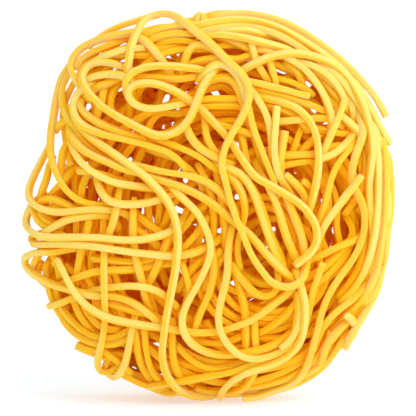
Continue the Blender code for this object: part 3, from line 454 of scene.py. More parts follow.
    "band_one": [(268, 124, 2.6), (276, 122, 1.7), (290, 120.5, 1.5), (305, 119, 1.5), (320, 117.5, 1.5),
        (332, 120, 1.7), (344, 128, 2.6)],
    "band_two": [(262, 104, 2.8), (272, 107, 2), (283, 110.5, 1.7), (293, 115.5, 1.8), (302, 123, 2.4),
        (308, 132, 3.2)],
    "band_three": [(284, 168, 3), (291, 160, 2.6), (296, 148, 2.3), (300, 136, 2.3), (304, 124, 3)],
    "band_four": [(294, 161, 3), (300, 152, 2.4), (308, 144, 2.1), (317, 137, 2.2), (327, 131, 2.8)],
    "band_five": [(276, 169, 2.8), (286, 165, 2.1), (298, 162.5, 2), (310, 161, 2.1), (322, 161, 2.8)],
    "band_six": [(314, 130, 2.8), (325, 131, 1.7), (336, 133, 1.5), (347, 133, 1.8), (358, 128, 2.6)],
    "band_seven": [(316, 149, 2.6), (327, 148.5, 1.6), (338, 146, 1.6), (350, 146, 2), (361, 150, 2.8)],
    "cut_block": [(285, 174.5, 0.9), (292, 181, 1.1), (299, 188, 1.3), (305, 197, 1.9), (309, 208, 3)],
    "cut_block_two": [(301.5, 181.5, 1.3), (307, 184.5, 1.7), (315, 190, 2.8)],
    "mid_gold_one": [(194, 102, 3.2), (205, 99.5, 2.5), (218, 99.5, 2.3), (231, 99.5, 2.3), (243, 98, 2.8)],
    "mid_gold_two": [(200, 108, 3.4), (212, 106.5, 2.8), (225, 105.5, 2.7), (238, 106, 2.8),
        (250, 109, 3.4)],
    "mid_pale_bar": [(204, 120, 2.8), (216, 124, 2), (229, 127, 1.8), (241, 131, 1.9), (254, 135, 2.6)],
    "mid_upright": [(201, 104, 3.6), (204, 116, 2.7), (205, 128, 2.3), (207, 140, 2.1), (213, 150, 2.3),
        (222, 158, 3.2)],
    "mid_small_upright": [(240, 132, 3.2), (243, 143, 2.7), (244, 153, 2.8), (248, 164, 3.6)],
    "low_left_three": [(72, 294, 3.2), (75, 305, 2.3), (80, 316, 2.1), (88, 327, 2.2), (98, 337, 2.7),
        (108, 346, 3.6)],
    "low_left_four": [(83, 304, 3.6), (90, 315, 2.9), (98, 323, 2.8), (108, 328, 3.1), (121, 330, 4)],
    "low_right_fill": [(258, 333, 3.6), (272, 325, 2.8), (285, 315, 2.5), (295, 303, 2.6), (302, 289, 3.4)],
    "steep_two": [(267, 54, 3), (270.5, 65, 1.9), (273, 75, 1.8), (276, 86, 2.6)],
    "under_bar": [(264, 77, 3.4), (278, 80, 2.5), (292, 83, 2.4), (304, 88, 2.5), (313, 95, 3.2)],
    "under_arc": [(284, 60, 3.2), (293, 67, 2.5), (299, 75, 2.6), (303, 86, 3.4)],
    "low_left_six": [(66, 264, 5.2), (77, 275, 4.7), (86, 286, 4.6), (93, 299, 5)],
    "link_left": [(52, 131, 2.6), (58, 126, 1.8), (65, 122.5, 1.8), (74, 118, 2.6)],
    "left_behind_one": [(54, 155, 2.6), (49, 166, 1.9), (47, 176, 1.6), (43, 187, 1.5), (38.5, 197, 1.8),
        (40, 207, 2.8), (47, 216, 4)],
    "left_behind_two": [(38, 206, 2.8), (46, 196, 2.2), (54, 188, 2), (61, 181, 2.1), (68, 172, 3.2),
        (76, 163, 4.4)],
    "left_behind_three": [(74, 122, 3.2), (68, 136, 2.4), (63.5, 147, 2), (61.5, 160, 1.9), (61, 174, 2.1),
        (64, 190, 2.8)],
    "left_small_arch": [(34, 212, 2.4), (38, 204, 1.7), (45, 199.5, 1.4), (54, 199.5, 1.4), (63, 203, 1.5),
        (72, 208.5, 1.9), (82, 214, 2.8)],
    "left_small_arch_two": [(40, 213, 2.8), (46, 207.5, 2.1), (54, 206, 2), (62, 209, 2.3), (70, 214, 3)],
    "left_inner_curl": [(34, 204, 2.2), (35, 212, 1.4), (37.5, 219, 1.1), (43, 226, 1), (51, 231.5, 1.2),
        (63, 236, 2)],
    "left_inner_curl_two": [(41, 208, 2.8), (42, 215, 1.9), (46, 221, 1.8), (53, 226.5, 2.1), (62, 231, 3)],
    "left_short_one": [(45, 243, 2), (40.5, 250, 1.6), (37, 258, 1.4), (34, 266, 1.5), (31, 275, 2.2)],
    "left_short_two": [(47, 246, 2.4), (50, 253, 1.7), (54, 260, 1.7), (58, 268, 2), (60, 280, 2.8)],
    "left_short_three": [(35, 273, 2.6), (42, 268, 1.9), (50, 264.5, 1.9), (58, 262, 2.6)],
    "gold_band": [(86, 70, 3.4), (95, 62.5, 2.4), (103, 58, 2), (112, 54.4, 1.8), (122, 51, 1.8),
        (134, 48.5, 2), (146, 47.5, 2.6)],
    "gold_band_two": [(98, 65, 3.2), (110, 58, 2.5), (124, 55, 2.3), (140, 54, 2.6), (158, 54, 3.2)],
    "under_oval": [(108, 78, 3), (102.5, 88, 2.2), (101, 99, 2), (98, 110, 2.1), (95, 122, 2.8)],
    "under_oval_deep": [(122, 80, 3.8), (114, 90, 3.2), (110, 101, 3.1), (112, 112, 3.3), (120, 122, 3.8)],
    "pale_end": [(345, 315, 0.1), (350, 319, 0.4), (354, 325, 1), (353.5, 333, 2), (347, 342, 3.4)],
    "rim_left_a": [(96, 50, 3.4), (84, 62, 3), (73, 77, 2.8), (64, 94, 2.8), (60, 112, 3), (62, 132, 3.2),
        (66, 150, 3.4), (72, 166, 3.8)],
}

# Places where the white background shows right through the nest, by their radius in grid steps
GAPS = {
    1.5: [(84, 64.5), (92, 59), (100, 54.5), (108, 50), (116, 46), (124, 41.5), (124, 30), (130, 28.5),
        (135, 27), (147, 27), (153, 24), (160, 21.8), (168, 20.5), (175, 20.5), (79, 56.5), (83, 52),
        (62, 112), (63, 117), (70, 146), (68, 161), (53, 183), (36, 178), (40, 172), (34, 190), (33, 220),
        (57, 217), (58, 231), (37, 238), (45, 249), (38, 249), (30, 257), (80, 176), (91, 178), (87, 187),
        (99, 198), (97, 91), (112, 99), (110, 123), (122, 118), (134, 116), (119, 144), (155, 93),
        (146, 93), (155, 123), (144, 127), (173, 112), (187, 92), (182, 82), (192, 72), (248, 60),
        (277, 70), (286, 73), (324, 123), (296, 174), (298, 179), (143, 208), (155, 207), (154, 215),
        (162, 221), (195, 226), (203, 239), (190, 229), (240, 212), (42, 284), (52, 287), (47, 268)],
    2.5: [(70.5, 86), (69.5, 92), (68.5, 98), (100, 54), (120, 43.5), (86, 61.5), (72, 90), (60, 140),
        (57, 152), (62, 133), (59, 194), (64, 199), (74, 207), (45, 259), (40, 262), (48, 257), (87, 163),
        (142.5, 213), (175.5, 209), (115, 68), (122, 61), (196, 83), (156, 142), (306, 82), (217, 170),
        (267, 182), (217, 231), (274, 229), (243, 281), (157, 344), (158, 374), (92, 332), (104, 365),
        (121, 362)],
    3.5: [(88, 107), (120, 90), (125, 136), (131, 134), (165, 96), (167, 99), (60, 193), (220, 93),
        (225.5, 90.5), (231, 88), (165, 125), (170, 125), (238, 54), (237, 145), (238, 197), (233, 283),
        (335, 230), (134, 368), (130, 160)],
}

# Dark pockets near the front that no inner strand crosses, each with its radius
POCKETS = [
    (333, 236, 9), (342, 232, 9), (92, 226, 8), (150, 160, 7), (120, 98, 9), (150, 95, 9), (165, 122, 8),
    (240, 146, 6), (88, 318, 4), (128, 354, 5), (268, 40, 3.5), (279, 43.5, 3.5),
]


def outline_share(u, v):
    """How far out a face point lies: 0 in the middle of the nest, 1 on its outline, which has a dent."""
    across = np.abs(np.asarray(u) / HALF_WIDTH) ** OUTLINE_POWER
    up = np.abs(np.asarray(v) / HALF_HEIGHT) ** OUTLINE_POWER
    away = (np.arctan2(v, u) - DENT_ANGLE + math.pi) % (2 * math.pi) - math.pi
    dent = 1 - DENT_DEPTH * np.exp(-(away / DENT_SPREAD) ** 2)
    return (across + up) ** (1 / OUTLINE_POWER) / dent


def face_depth(u, v):
    """Half the nest's depth there: uneven in the middle, and rounded over at the rim."""
    share = np.minimum(outline_share(u, v), 1)
    swell = FACE_SWELL * np.sin(150 * u + 1) * np.cos(120 * v - 0.5)
    return (HALF_DEPTH + swell * (1 - share)) * np.maximum(RIM_LEAST, 1 - share ** 3) ** RIM_ROUNDING


def camera_axes():
    """The camera's place, and its right, up and forward directions."""
    forward = np.array([0, math.cos(VIEW_ELEVATION), -math.sin(VIEW_ELEVATION)])
    up = np.array([0, math.sin(VIEW_ELEVATION), math.cos(VIEW_ELEVATION)])
    right = np.array([1.0, 0, 0])
    aim = np.array([0, 0, HALF_HEIGHT])
    return aim - forward * VIEW_DISTANCE, right, up, forward


def from_grid(x, y):
    """How many metres a place on the view grid lies to the right of the grid's middle, and above it."""
    return (x - GRID_MIDDLE[0]) * VIEW_STEP, (GRID_MIDDLE[1] - y) * VIEW_STEP


def seen_at(x, y, depth):
    """The world point at that depth (world Y) which the camera sees at that place on the view grid."""
    eye, right, up, forward = camera_axes()
    across, above = from_grid(x, y)
    ray = forward * VIEW_DISTANCE + right * across + up * above
    return eye + ray * (depth - eye[1]) / ray[1]


def smooth_route(knots, spacing):
    """Evenly spaced points on a Catmull-Rom curve through the knots."""
    knots = np.array(knots, float)
    padded = np.vstack([2 * knots[0] - knots[1], knots, 2 * knots[-1] - knots[-2]])
    before, start, end, after = (padded[k:len(padded) - 3 + k, None] for k in range(4))
    t = np.linspace(0, 1, CURVE_STEPS, endpoint=False)[None, :, None]
    curve = 0.5 * (2 * start + (end - before) * t + (2 * before - 5 * start + 4 * end - after) * t ** 2
                   + (3 * start - before - 3 * end + after) * t ** 3)
    dense = np.vstack([curve.reshape(-1, knots.shape[1]), knots[-1]])
    along = np.concatenate([[0], np.cumsum(np.linalg.norm(np.diff(dense[:, :3], axis=0), axis=1))])
    even = np.linspace(0, along[-1], max(4, round(along[-1] / spacing)) + 1)
    return np.stack([np.interp(even, along, dense[:, axis]) for axis in range(knots.shape[1])], axis=1)


def front_strand(knots):
    """Points and layers of a listed strand on the front face."""
    placed = []
    for x, y, layer in knots:
        depth = STRAND_WIDTH / 2 + layer * LAYER - face_depth(*from_grid(x, y))
        placed.append([*seen_at(x, y, depth), layer])
    return smooth_route(placed, POINT_SPACING)


def back_strand(knots):
    """Points and layers of a strand on the back face, which reuses the front's tangle turned and flipped."""
    placed = []
    for x, y, layer in knots:
        across, above = from_grid(x, y)
        u = across / HALF_WIDTH
        v = above / HALF_HEIGHT
        turned_u = BACK_SCALE * HALF_WIDTH * (u * math.cos(BACK_TURN) + v * math.sin(BACK_TURN))
        turned_v = BACK_SCALE * HALF_HEIGHT * (v * math.cos(BACK_TURN) - u * math.sin(BACK_TURN))
        inwards = min(1, BACK_REACH / outline_share(turned_u, turned_v))
        u = turned_u * inwards
        v = turned_v * inwards
        depth = face_depth(u, v) - STRAND_WIDTH / 2 - layer * LAYER
        placed.append([u, depth, v + HALF_HEIGHT, layer])
    return smooth_route(placed, POINT_SPACING)


def rim_point(angle, across, under, rank):
    """A place on the rounded rim: angle goes round the nest, across from -1 at the front to 1 at the back."""
    tilt = across * math.pi / 2
    share = max(math.cos(tilt), RIM_LEAST) ** RIM_ROUNDING
    depth = (HALF_DEPTH - under) * math.copysign(abs(math.sin(tilt)) ** RIM_SLOPE, tilt)
    u = math.cos(angle)
    v = math.sin(angle)
    reach = share / float(outline_share(u, v)) - under
    return [u * reach, depth, v * reach + HALF_HEIGHT, rank]


def start_angle(rng, number):
    """The angle at which a strand or bundle starts: its number spreads them all round the nest."""
    return 2 * math.pi * (number * TURN_SHARE % 1) + rng.uniform(-0.2, 0.2)


def end_tuck(along, strands, power):
    """How deep a strand dives there: that many strand widths at its ends, and nothing half way."""
    return strands * STRAND_WIDTH * abs(2 * along - 1) ** power


def rim_bundle(rng, number):
    """A few strands side by side, wound round the rim for part of a turn and drifting across it."""
    start = start_angle(rng, number)
    across = -0.5 + 1.22 * ((number * SIDE_SHARE + 0.1) % 1)
    drift = rng.uniform(-0.4, 0.4)
    sway = rng.uniform(0.02, 0.09)
    made = []
    for member in range(rng.choice([2, 2, 3, 4])):
        first = start + rng.uniform(-0.35, 0.35)
        arc = math.radians(rng.uniform(80, 165))
        depth = rng.uniform(0.5, 2.2) * STRAND_WIDTH
        knots = []
        for step in range(13):
            along = step / 12
            angle = first + arc * along
            place = across + 0.06 * member + drift * (along - 0.5) + sway * math.sin(4 * angle + member)
            ripple = 0.35 * STRAND_WIDTH * math.sin(7 * angle + number)
            under = depth + end_tuck(along, 4, 7) + ripple
            knots.append(rim_point(angle, max(-0.8, min(0.8, place)), under, RIM_RANK))
        made.append(smooth_route(knots, POINT_SPACING))
    return made


def belt_strand(rng, number):
    """A strand wound round the middle of the rim, wandering from front to back."""
    start = start_angle(rng, number)
    arc = math.radians(rng.uniform(90, 190))
    base = rng.uniform(-0.1, 0.1)
    slant = rng.uniform(-0.22, 0.22)
    depth = rng.uniform(0.55, 1.3) * STRAND_WIDTH
    knots = []
    for step in range(17):
        along = step / 16
        angle = start + arc * along
        across = base + slant * (along - 0.5) + 0.05 * math.sin(5 * angle + number)
        knots.append(rim_point(angle, across, depth + end_tuck(along, 2.5, 10), BELT_RANK))
    return smooth_route(knots, POINT_SPACING)


def over_strand(rng, number):
    """A strand that comes off one face, goes slantwise over the rim and tucks in behind the other."""
    start = start_angle(rng, number)
    arc = math.radians(rng.uniform(35, 75)) * rng.choice([-1, 1])
    reach = rng.uniform(0.4, 0.5)
    depth = rng.uniform(0.5, 1) * STRAND_WIDTH
    knots = []
    for step in range(17):
        along = step / 16
        across = 0.3 + reach * math.sin((along - 0.5) * math.pi * 0.9)
        knots.append(rim_point(start + arc * along, across, depth + end_tuck(along, 3, 4), OVER_RANK))
    return smooth_route(knots, POINT_SPACING)


def inner_bundle(rng, number):
    """One or two strands inside the nest: part of an uneven loop at one depth, every third one small."""
    heading = 2.4 * number
    if number % 3 == 0:
        out = rng.uniform(0, 0.4)
        radius = rng.uniform(0.16, 0.45)
    else:
        out = rng.uniform(0, 0.34)
        radius = rng.uniform(0.34, 0.8)
    swell = rng.uniform(0.04, 0.2)
    start = rng.uniform(0, 2 * math.pi)
    level = math.sin((((number * TURN_SHARE + 0.2) % 1) - 0.5) * math.pi)
    lean = rng.uniform(-0.3, 0.3)
    made = []
    for member in range(rng.choice([1, 1, 2, 2])):
        sweep = rng.uniform(0.8, 1.7) * math.pi
        first = start + rng.uniform(-0.9, 0.9)
        knots = []
        for step in range(13):
            angle = first + sweep * step / 12
            reach = radius * (1 + swell * math.sin(2 * angle + number)) + 0.045 * member
            u = HALF_WIDTH * (INNER_SHIFT[0] + out * math.cos(heading) + reach * math.cos(angle))
            v = HALF_HEIGHT * (INNER_SHIFT[1] + out * math.sin(heading) + reach * math.sin(angle))
            inwards = min(1, INNER_REACH / float(outline_share(u, v)))
            u *= inwards
            v *= inwards
            room = float(face_depth(u, v)) - INNER_CLEARANCE
            ends_in = 1 - 0.35 * abs(step / 6 - 1) ** 6
            depth = room * max(-1, min(1, level + lean * math.sin(angle))) * ends_in
            knots.append([u, depth, v + HALF_HEIGHT, INNER_RANK])
        made.append(smooth_route(knots, POINT_SPACING))
    return made


def near_pairs(points, reach):
    """Index pairs of points that lie within reach of each other, found with a grid of cells."""
    cells = np.floor((points - points.min(axis=0)) / reach).astype(np.int64) + 1
    side = cells.max() + 3
    weights = np.array([side * side, side, 1])
    key = cells @ weights
    order = np.argsort(key, kind="stable")
    ordered = key[order]
    found = []
    for step in [(0, 0, 0), (0, 0, 1), (0, 1, -1), (0, 1, 0), (0, 1, 1), (1, -1, -1), (1, -1, 0), (1, -1, 1),
                 (1, 0, -1), (1, 0, 0), (1, 0, 1), (1, 1, -1), (1, 1, 0), (1, 1, 1)]:
        wanted = key + np.array(step) @ weights
        low = np.searchsorted(ordered, wanted, "left")
        counts = np.searchsorted(ordered, wanted, "right") - low
        first = np.repeat(np.arange(len(key)), counts)
        offset = np.arange(len(first)) - np.repeat(np.cumsum(counts) - counts, counts)
        second = order[np.repeat(low, counts) + offset]
        if step == (0, 0, 0):
            once = first < second
            first = first[once]
            second = second[once]
        close = ((points[first] - points[second]) ** 2).sum(axis=1) < reach ** 2
        found.append(np.stack([first[close], second[close]], axis=1))
    return np.vstack(found)


def meeting_pairs(points, owner):
    """The near pairs, without those of one strand that follow each other along it."""
    pairs = near_pairs(points, PAIR_REACH)
    own = owner[pairs[:, 0]] == owner[pairs[:, 1]]
    apart = np.abs(pairs[:, 0] - pairs[:, 1]) > OWN_REACH
    return pairs[~own | apart]


def outward(points):
    """The direction out of the nest at each point."""
    u = points[:, 0] / HALF_WIDTH
    v = (points[:, 2] - HALF_HEIGHT) / HALF_HEIGHT
    share = np.minimum(outline_share(points[:, 0], points[:, 2] - HALF_HEIGHT), 1)
    side = np.tanh(points[:, 1] / (0.25 * HALF_DEPTH))
    normal = np.stack([u * share ** 5, side * (1.02 - share ** 6), v * share ** 5], axis=1)
    return normal / np.maximum(np.linalg.norm(normal, axis=1), TINY)[:, None]


def push_map(places):
    """A map of the view grid: which way, and how far, a strand there is pushed off those places."""
    side = CELLS_PER_STEP * FRAME_STEPS
    push_there = np.zeros((side, side, 2))
    rows, columns = np.mgrid[0:side, 0:side] / CELLS_PER_STEP
    strongest = np.zeros((side, side))
    for x, y, radius in places:
        across = (columns - x) * VIEW_STEP
        down = (rows - y) * VIEW_STEP
        away = np.maximum(np.hypot(across, down), 1e-6)
        push = np.maximum(0, radius * VIEW_STEP + STRAND_WIDTH / 2 - away)
        better = push > strongest
        strongest[better] = push[better]
        push_there[better] = np.stack([across, -down], axis=2)[better] * (push / away)[better][:, None]
    return push_there


def seen_cells(points):
    """The rows and columns of a push map at which the camera sees the points."""
    eye, right, up, forward = camera_axes()
    relative = points - eye
    ahead = relative @ forward
    seen_x = relative @ right * VIEW_DISTANCE / ahead
    seen_y = relative @ up * VIEW_DISTANCE / ahead
    last = CELLS_PER_STEP * FRAME_STEPS - 1
    column = np.round(CELLS_PER_STEP * (seen_x / VIEW_STEP + GRID_MIDDLE[0])).astype(int)
    row = np.round(CELLS_PER_STEP * (GRID_MIDDLE[1] - seen_y / VIEW_STEP)).astype(int)
    return np.clip(row, 0, last), np.clip(column, 0, last)


def outer_limit(points):
    """How far out a strand that isn't listed on the front may lie there: less where the photo's outline is
    open.
    """
    angle = np.arctan2(points[:, 2] - HALF_HEIGHT, points[:, 0])
    limit = np.full(len(points), OUTER_LIMIT)
    for middle, depth, spread in OPEN_SIDES:
        away = (angle - middle + math.pi) % (2 * math.pi) - math.pi
        limit -= depth * np.exp(-(away / spread) ** 2)
    return limit


def gather(count, index, values):
    """The sum of the values that each index receives."""
    return np.stack([np.bincount(index, values[:, axis], count) for axis in range(3)], axis=1)


def contact_moves(points, normals, pairs, layer, is_laid):
    """How far each point gives way to the points it overlaps: mainly in or out, by their layers."""
    first, second = pairs.T
    between = points[second] - points[first]
    distance = np.linalg.norm(between, axis=1)
    touching = distance < CONTACT
    first = first[touching]
    second = second[touching]
    between = between[touching]
    distance = np.maximum(distance[touching], TINY)
    normal = normals[first] + normals[second]
    normal /= np.maximum(np.linalg.norm(normal, axis=1), TINY)[:, None]
    rise = (between * normal).sum(axis=1) / distance
    flat = between / distance[:, None] - normal * rise[:, None]
    order = layer[first] - layer[second]
    by_layer = np.sign(order) * np.maximum(np.abs(rise), LAYER_RISE)
    rise = np.where(np.abs(order) > LAYER_GAP, by_layer, rise)
    rise = np.where(np.abs(rise) < LEAST_RISE, np.where(rise < 0, -LEAST_RISE, LEAST_RISE), rise)
    sideways = np.where(is_laid[first] | is_laid[second], SIDEWAYS_IF_LAID, SIDEWAYS)
    push = flat * sideways[:, None] + normal * rise[:, None]
    push /= np.linalg.norm(push, axis=1)[:, None]
    push *= ((CONTACT - distance) * CONTACT_GIVE)[:, None]
    if_unlike = np.where(is_laid[first], MOVE_OF_LAID, 1 - MOVE_OF_LAID)
    first_gives = np.where(is_laid[first] == is_laid[second], 0.5, if_unlike)[:, None]
    count = len(points)
    moves = gather(count, second, push * (1 - first_gives)) - gather(count, first, push * first_gives)
    hits = np.bincount(first, minlength=count) + np.bincount(second, minlength=count)
    return moves / np.maximum(1, 0.5 * hits)[:, None]


def evened_out(moved, has_next):
    """The moves, brought half way to the average of their neighbours on the same strand."""
    average = moved.copy()
    weight = np.ones(len(moved))
    average[has_next] += moved[has_next + 1]
    average[has_next + 1] += moved[has_next]
    weight[has_next] += 1
    weight[has_next + 1] += 1
    average /= weight[:, None]
    return moved + SMOOTHING * (average - moved)


def kept_inside(points, limit, low, high):
    """The points, drawn in to the limit of the outline and into the box."""
    share = outline_share(points[:, 0], points[:, 2] - HALF_HEIGHT)
    outside = np.minimum(1, limit / np.maximum(share, 0.01))
    points[:, 0] *= outside
    points[:, 2] = (points[:, 2] - HALF_HEIGHT) * outside + HALF_HEIGHT
    return np.clip(points, low, high)


def settle(routes, laid):
    """Pushes the strands apart until they lie on one another, inside the CAD box and above the floor."""
    start = np.vstack([route[:, :3] for route in routes])
    layer = np.concatenate([route[:, 3] for route in routes])
    owner = np.concatenate([np.full(len(route), k) for k, route in enumerate(routes)])
    is_laid = np.concatenate([np.full(len(route), flag) for route, flag in zip(routes, laid)])
    inside = np.append(owner[1:] == owner[:-1], False)
    has_next = np.nonzero(inside)[0]
    has_both = np.nonzero(inside[1:] & inside[:-1])[0] + 1
    right, up = camera_axes()[1:3]
    low = np.array(cad_low) + STRAND_WIDTH / 2 + BOX_MARGIN
    high = np.array(cad_high) - STRAND_WIDTH / 2 - BOX_MARGIN
    gap_map = push_map([(x, y, radius) for radius, places in GAPS.items() for x, y in places])
    pocket_map = push_map(POCKETS)
    laid_share = outline_share(start[:, 0], start[:, 2] - HALF_HEIGHT) + LAID_LEEWAY
    moved = np.zeros_like(start)
    for step in range(SETTLE_STEPS):
        points = start + moved
        if step % PAIR_REFRESH == 0:
            pairs = meeting_pairs(points, owner)
            normals = outward(points)
        moved += contact_moves(points, normals, pairs, layer, is_laid)
        points = start + moved
        row, column = seen_cells(points)
        push = gap_map[row, column]
        in_front = points[:, 1] < POCKET_DEPTH
        push[in_front] += pocket_map[row, column][in_front]
        push[is_laid] = 0
        moved += PUSH_RATE * (push[:, :1] * right + push[:, 1:] * up)
        points = start + evened_out(moved, has_next)
        limit = np.where(is_laid, laid_share, outer_limit(points))
        moved = kept_inside(points, limit, low, high) - start
    settled = start + moved
    for _ in range(LAST_SMOOTHINGS):
        average = settled.copy()
        average[has_both] = (settled[has_both - 1] + 2 * settled[has_both] + settled[has_both + 1]) / 4
        settled = np.clip(average, low, high)
    return [settled[owner == k] for k in range(len(routes))]


def build_strands():
    """Every strand's settled centre line, grouped by the piece that it belongs to."""
    rng = random.Random(SEED)
    groups = [("front_strands", front_strand(knots)) for knots in FRONT.values()]
    groups += [("back_strands", back_strand(knots)) for knots in FRONT.values()]
    for number in range(RIM_BUNDLES):
        groups += [("rim_strands", route) for route in rim_bundle(rng, number)]
    groups += [("belt_strands", belt_strand(rng, number)) for number in range(BELT_STRANDS)]
    groups += [("belt_strands", over_strand(rng, number)) for number in range(OVER_STRANDS)]
    for number in range(INNER_BUNDLES):
        bundle = inner_bundle(rng, number)
        name = "inner_front_strands" if bundle[0][:, 1].mean() < 0 else "inner_back_strands"
        groups += [(name, route) for route in bundle]
    laid = [name == "front_strands" for name, _ in groups]
    settled = settle([route for _, route in groups], laid)
    pieces = {}
    for (name, _), line in zip(groups, settled):
        pieces.setdefault(name, []).append(line)
    return pieces


def section(with_middles):
    """The strand's cross-section: a rectangle with rounded corners and, if asked, slightly bulging sides."""
    radius = CORNER_SHARE * STRAND_THICKNESS / 2
    across = STRAND_WIDTH / 2
    up = STRAND_THICKNESS / 2
    points = []
    for quarter in range(4):
        turn = quarter * math.pi / 2
        centre_x = (across - radius) * (1 if quarter in (0, 3) else -1)
        centre_y = (up - radius) * (1 if quarter in (0, 1) else -1)
        for bend in (0, math.pi / 4, math.pi / 2):
            inset = 1 if bend == math.pi / 4 else CORNER_INSET
            x = centre_x + radius * math.cos(turn + bend)
            y = centre_y + radius * math.sin(turn + bend)
            points.append([x * inset, y * inset])
        if with_middles:
            side = turn + math.pi / 2
            points.append([across * math.cos(side), up * math.sin(side)])
    return np.array(points)


def frames(line, roll):
    """Two directions across the line at each point, which turn no more than they must, plus the roll."""
    tangents = np.gradient(line, axis=0)
    tangents /= np.linalg.norm(tangents, axis=1)[:, None]
    across = np.cross(tangents[0], [0.3, 0.9, 0.2])
    sideways = [across / np.linalg.norm(across)]
    for tangent in tangents[1:]:
        across = sideways[-1] - tangent * (sideways[-1] @ tangent)
        sideways.append(across / np.linalg.norm(across))
    sideways = np.array(sideways)
    upwards = np.cross(tangents, sideways)
    turn = roll[:, None]
    return sideways * np.cos(turn) + upwards * np.sin(turn), upwards * np.cos(turn) - sideways * np.sin(turn)


def painted_shade_depth(line):
    """How far inside the nest each point lies, which sets how much painted shade it gets: 0 at its outside, 1
    from a few strands down.
    """
    u = line[:, 0]
    v = line[:, 2] - HALF_HEIGHT
    below_face = face_depth(u, v) - np.abs(line[:, 1])
    below_rim = (1 - outline_share(u, v)) * HALF_WIDTH
    return np.clip(np.minimum(below_face, below_rim) / PAINTED_SHADE_RANGE, 0, 1)


def strand_rings(line, outline, spacing, rng):
    """The rings of points round a strand, which rolls slowly, swells and thins a little, and ends smaller."""
    count = len(line)
    first_roll = rng.uniform(0, math.pi)
    turning = np.linspace(0, rng.uniform(2, 5), count) + rng.uniform(0, 6)
    side, upward = frames(line, first_roll + 0.5 * np.sin(turning))
    along = np.arange(count) * spacing
    swell = 0.025 * np.sin(along * rng.uniform(280, 420) + rng.uniform(0, 6))
    ripple = 0.012 * np.sin(along * 1900 + rng.uniform(0, 6))
    size = 1 + swell + ripple
    size[[0, -1]] *= CUT_END_SIZE
    across = outline[:, 0] * size[:, None]
    up = outline[:, 1] * size[:, None]
    return line[:, None] + side[:, None] * across[:, :, None] + upward[:, None] * up[:, :, None]


def strand_faces(base, count, sides):
    """The faces of a strand whose points start at base: quads along it, then a cap at either end."""
    start = base + np.arange(count - 1)[:, None] * sides
    spoke = np.arange(sides)[None, :]
    following = (spoke + 1) % sides
    corners = [start + spoke, start + following, start + sides + following, start + sides + spoke]
    quads = np.stack(corners, axis=2).reshape(-1, 4).tolist()
    last = base + (count - 1) * sides
    return quads + [list(range(base + sides - 1, base - 1, -1)), list(range(last, last + sides))]


def strand_piece(name, lines, material, rng):
    """One mesh that holds every strand of a group, with the grain and the values that its material reads."""
    is_inner = name.startswith("inner")
    outline = section(with_middles=not is_inner)
    sides = len(outline)
    # Two opposite sides of the section get a painted highlight
    highlight_by_side = 0.5 - 0.5 * np.cos(2 * np.arctan2(outline[:, 1], outline[:, 0]))
    spacing = INNER_RING_SPACING if is_inner else RING_SPACING
    vertices = []
    faces = []
    coordinates = []
    values = {"tone": [], "cut_end": [], "painted_shade_depth": [], "painted_highlight_side": []}
    for line in lines:
        line = smooth_route(line, spacing)
        count = len(line)
        faces += strand_faces(sum(len(part) for part in vertices), count, sides)
        vertices.append(strand_rings(line, outline, spacing, rng).reshape(-1, 3))
        values["tone"].append(np.full(count * sides, rng.random()))
        along = np.arange(count) * spacing * GRAIN_PER_METRE + rng.uniform(0, 5) * GRAIN_SHIFT
        around = np.tile(np.arange(sides) / sides, count)
        coordinates.append(np.stack([around, np.repeat(along, sides)], axis=1))
        cut = np.zeros(count * sides)
        cut[:sides] = 1
        cut[-sides:] = 1
        values["cut_end"].append(cut)
        # Painted shade: how deep inside the nest each point lies
        values["painted_shade_depth"].append(np.repeat(painted_shade_depth(line), sides))
        values["painted_highlight_side"].append(np.tile(highlight_by_side, count))
    mesh = bpy.data.meshes.new(name)
    mesh.from_pydata(np.vstack(vertices).tolist(), [], faces)
    mesh.polygons.foreach_set("use_smooth", [True] * len(mesh.polygons))
    corners = np.empty(len(mesh.loops), np.int32)
    mesh.loops.foreach_get("vertex_index", corners)
    grain = mesh.uv_layers.new(name="grain")
    grain.data.foreach_set("uv", np.vstack(coordinates)[corners].ravel())
    for label, numbers in values.items():
        attribute = mesh.attributes.new(label, "FLOAT", "POINT")
        attribute.data.foreach_set("value", np.concatenate(numbers))
    mesh.materials.append(material)
    mesh.update()
    piece = bpy.data.objects.new(name, mesh)
    bpy.context.scene.collection.objects.link(piece)
    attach(piece, "root")
    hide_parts("pasta_nest")


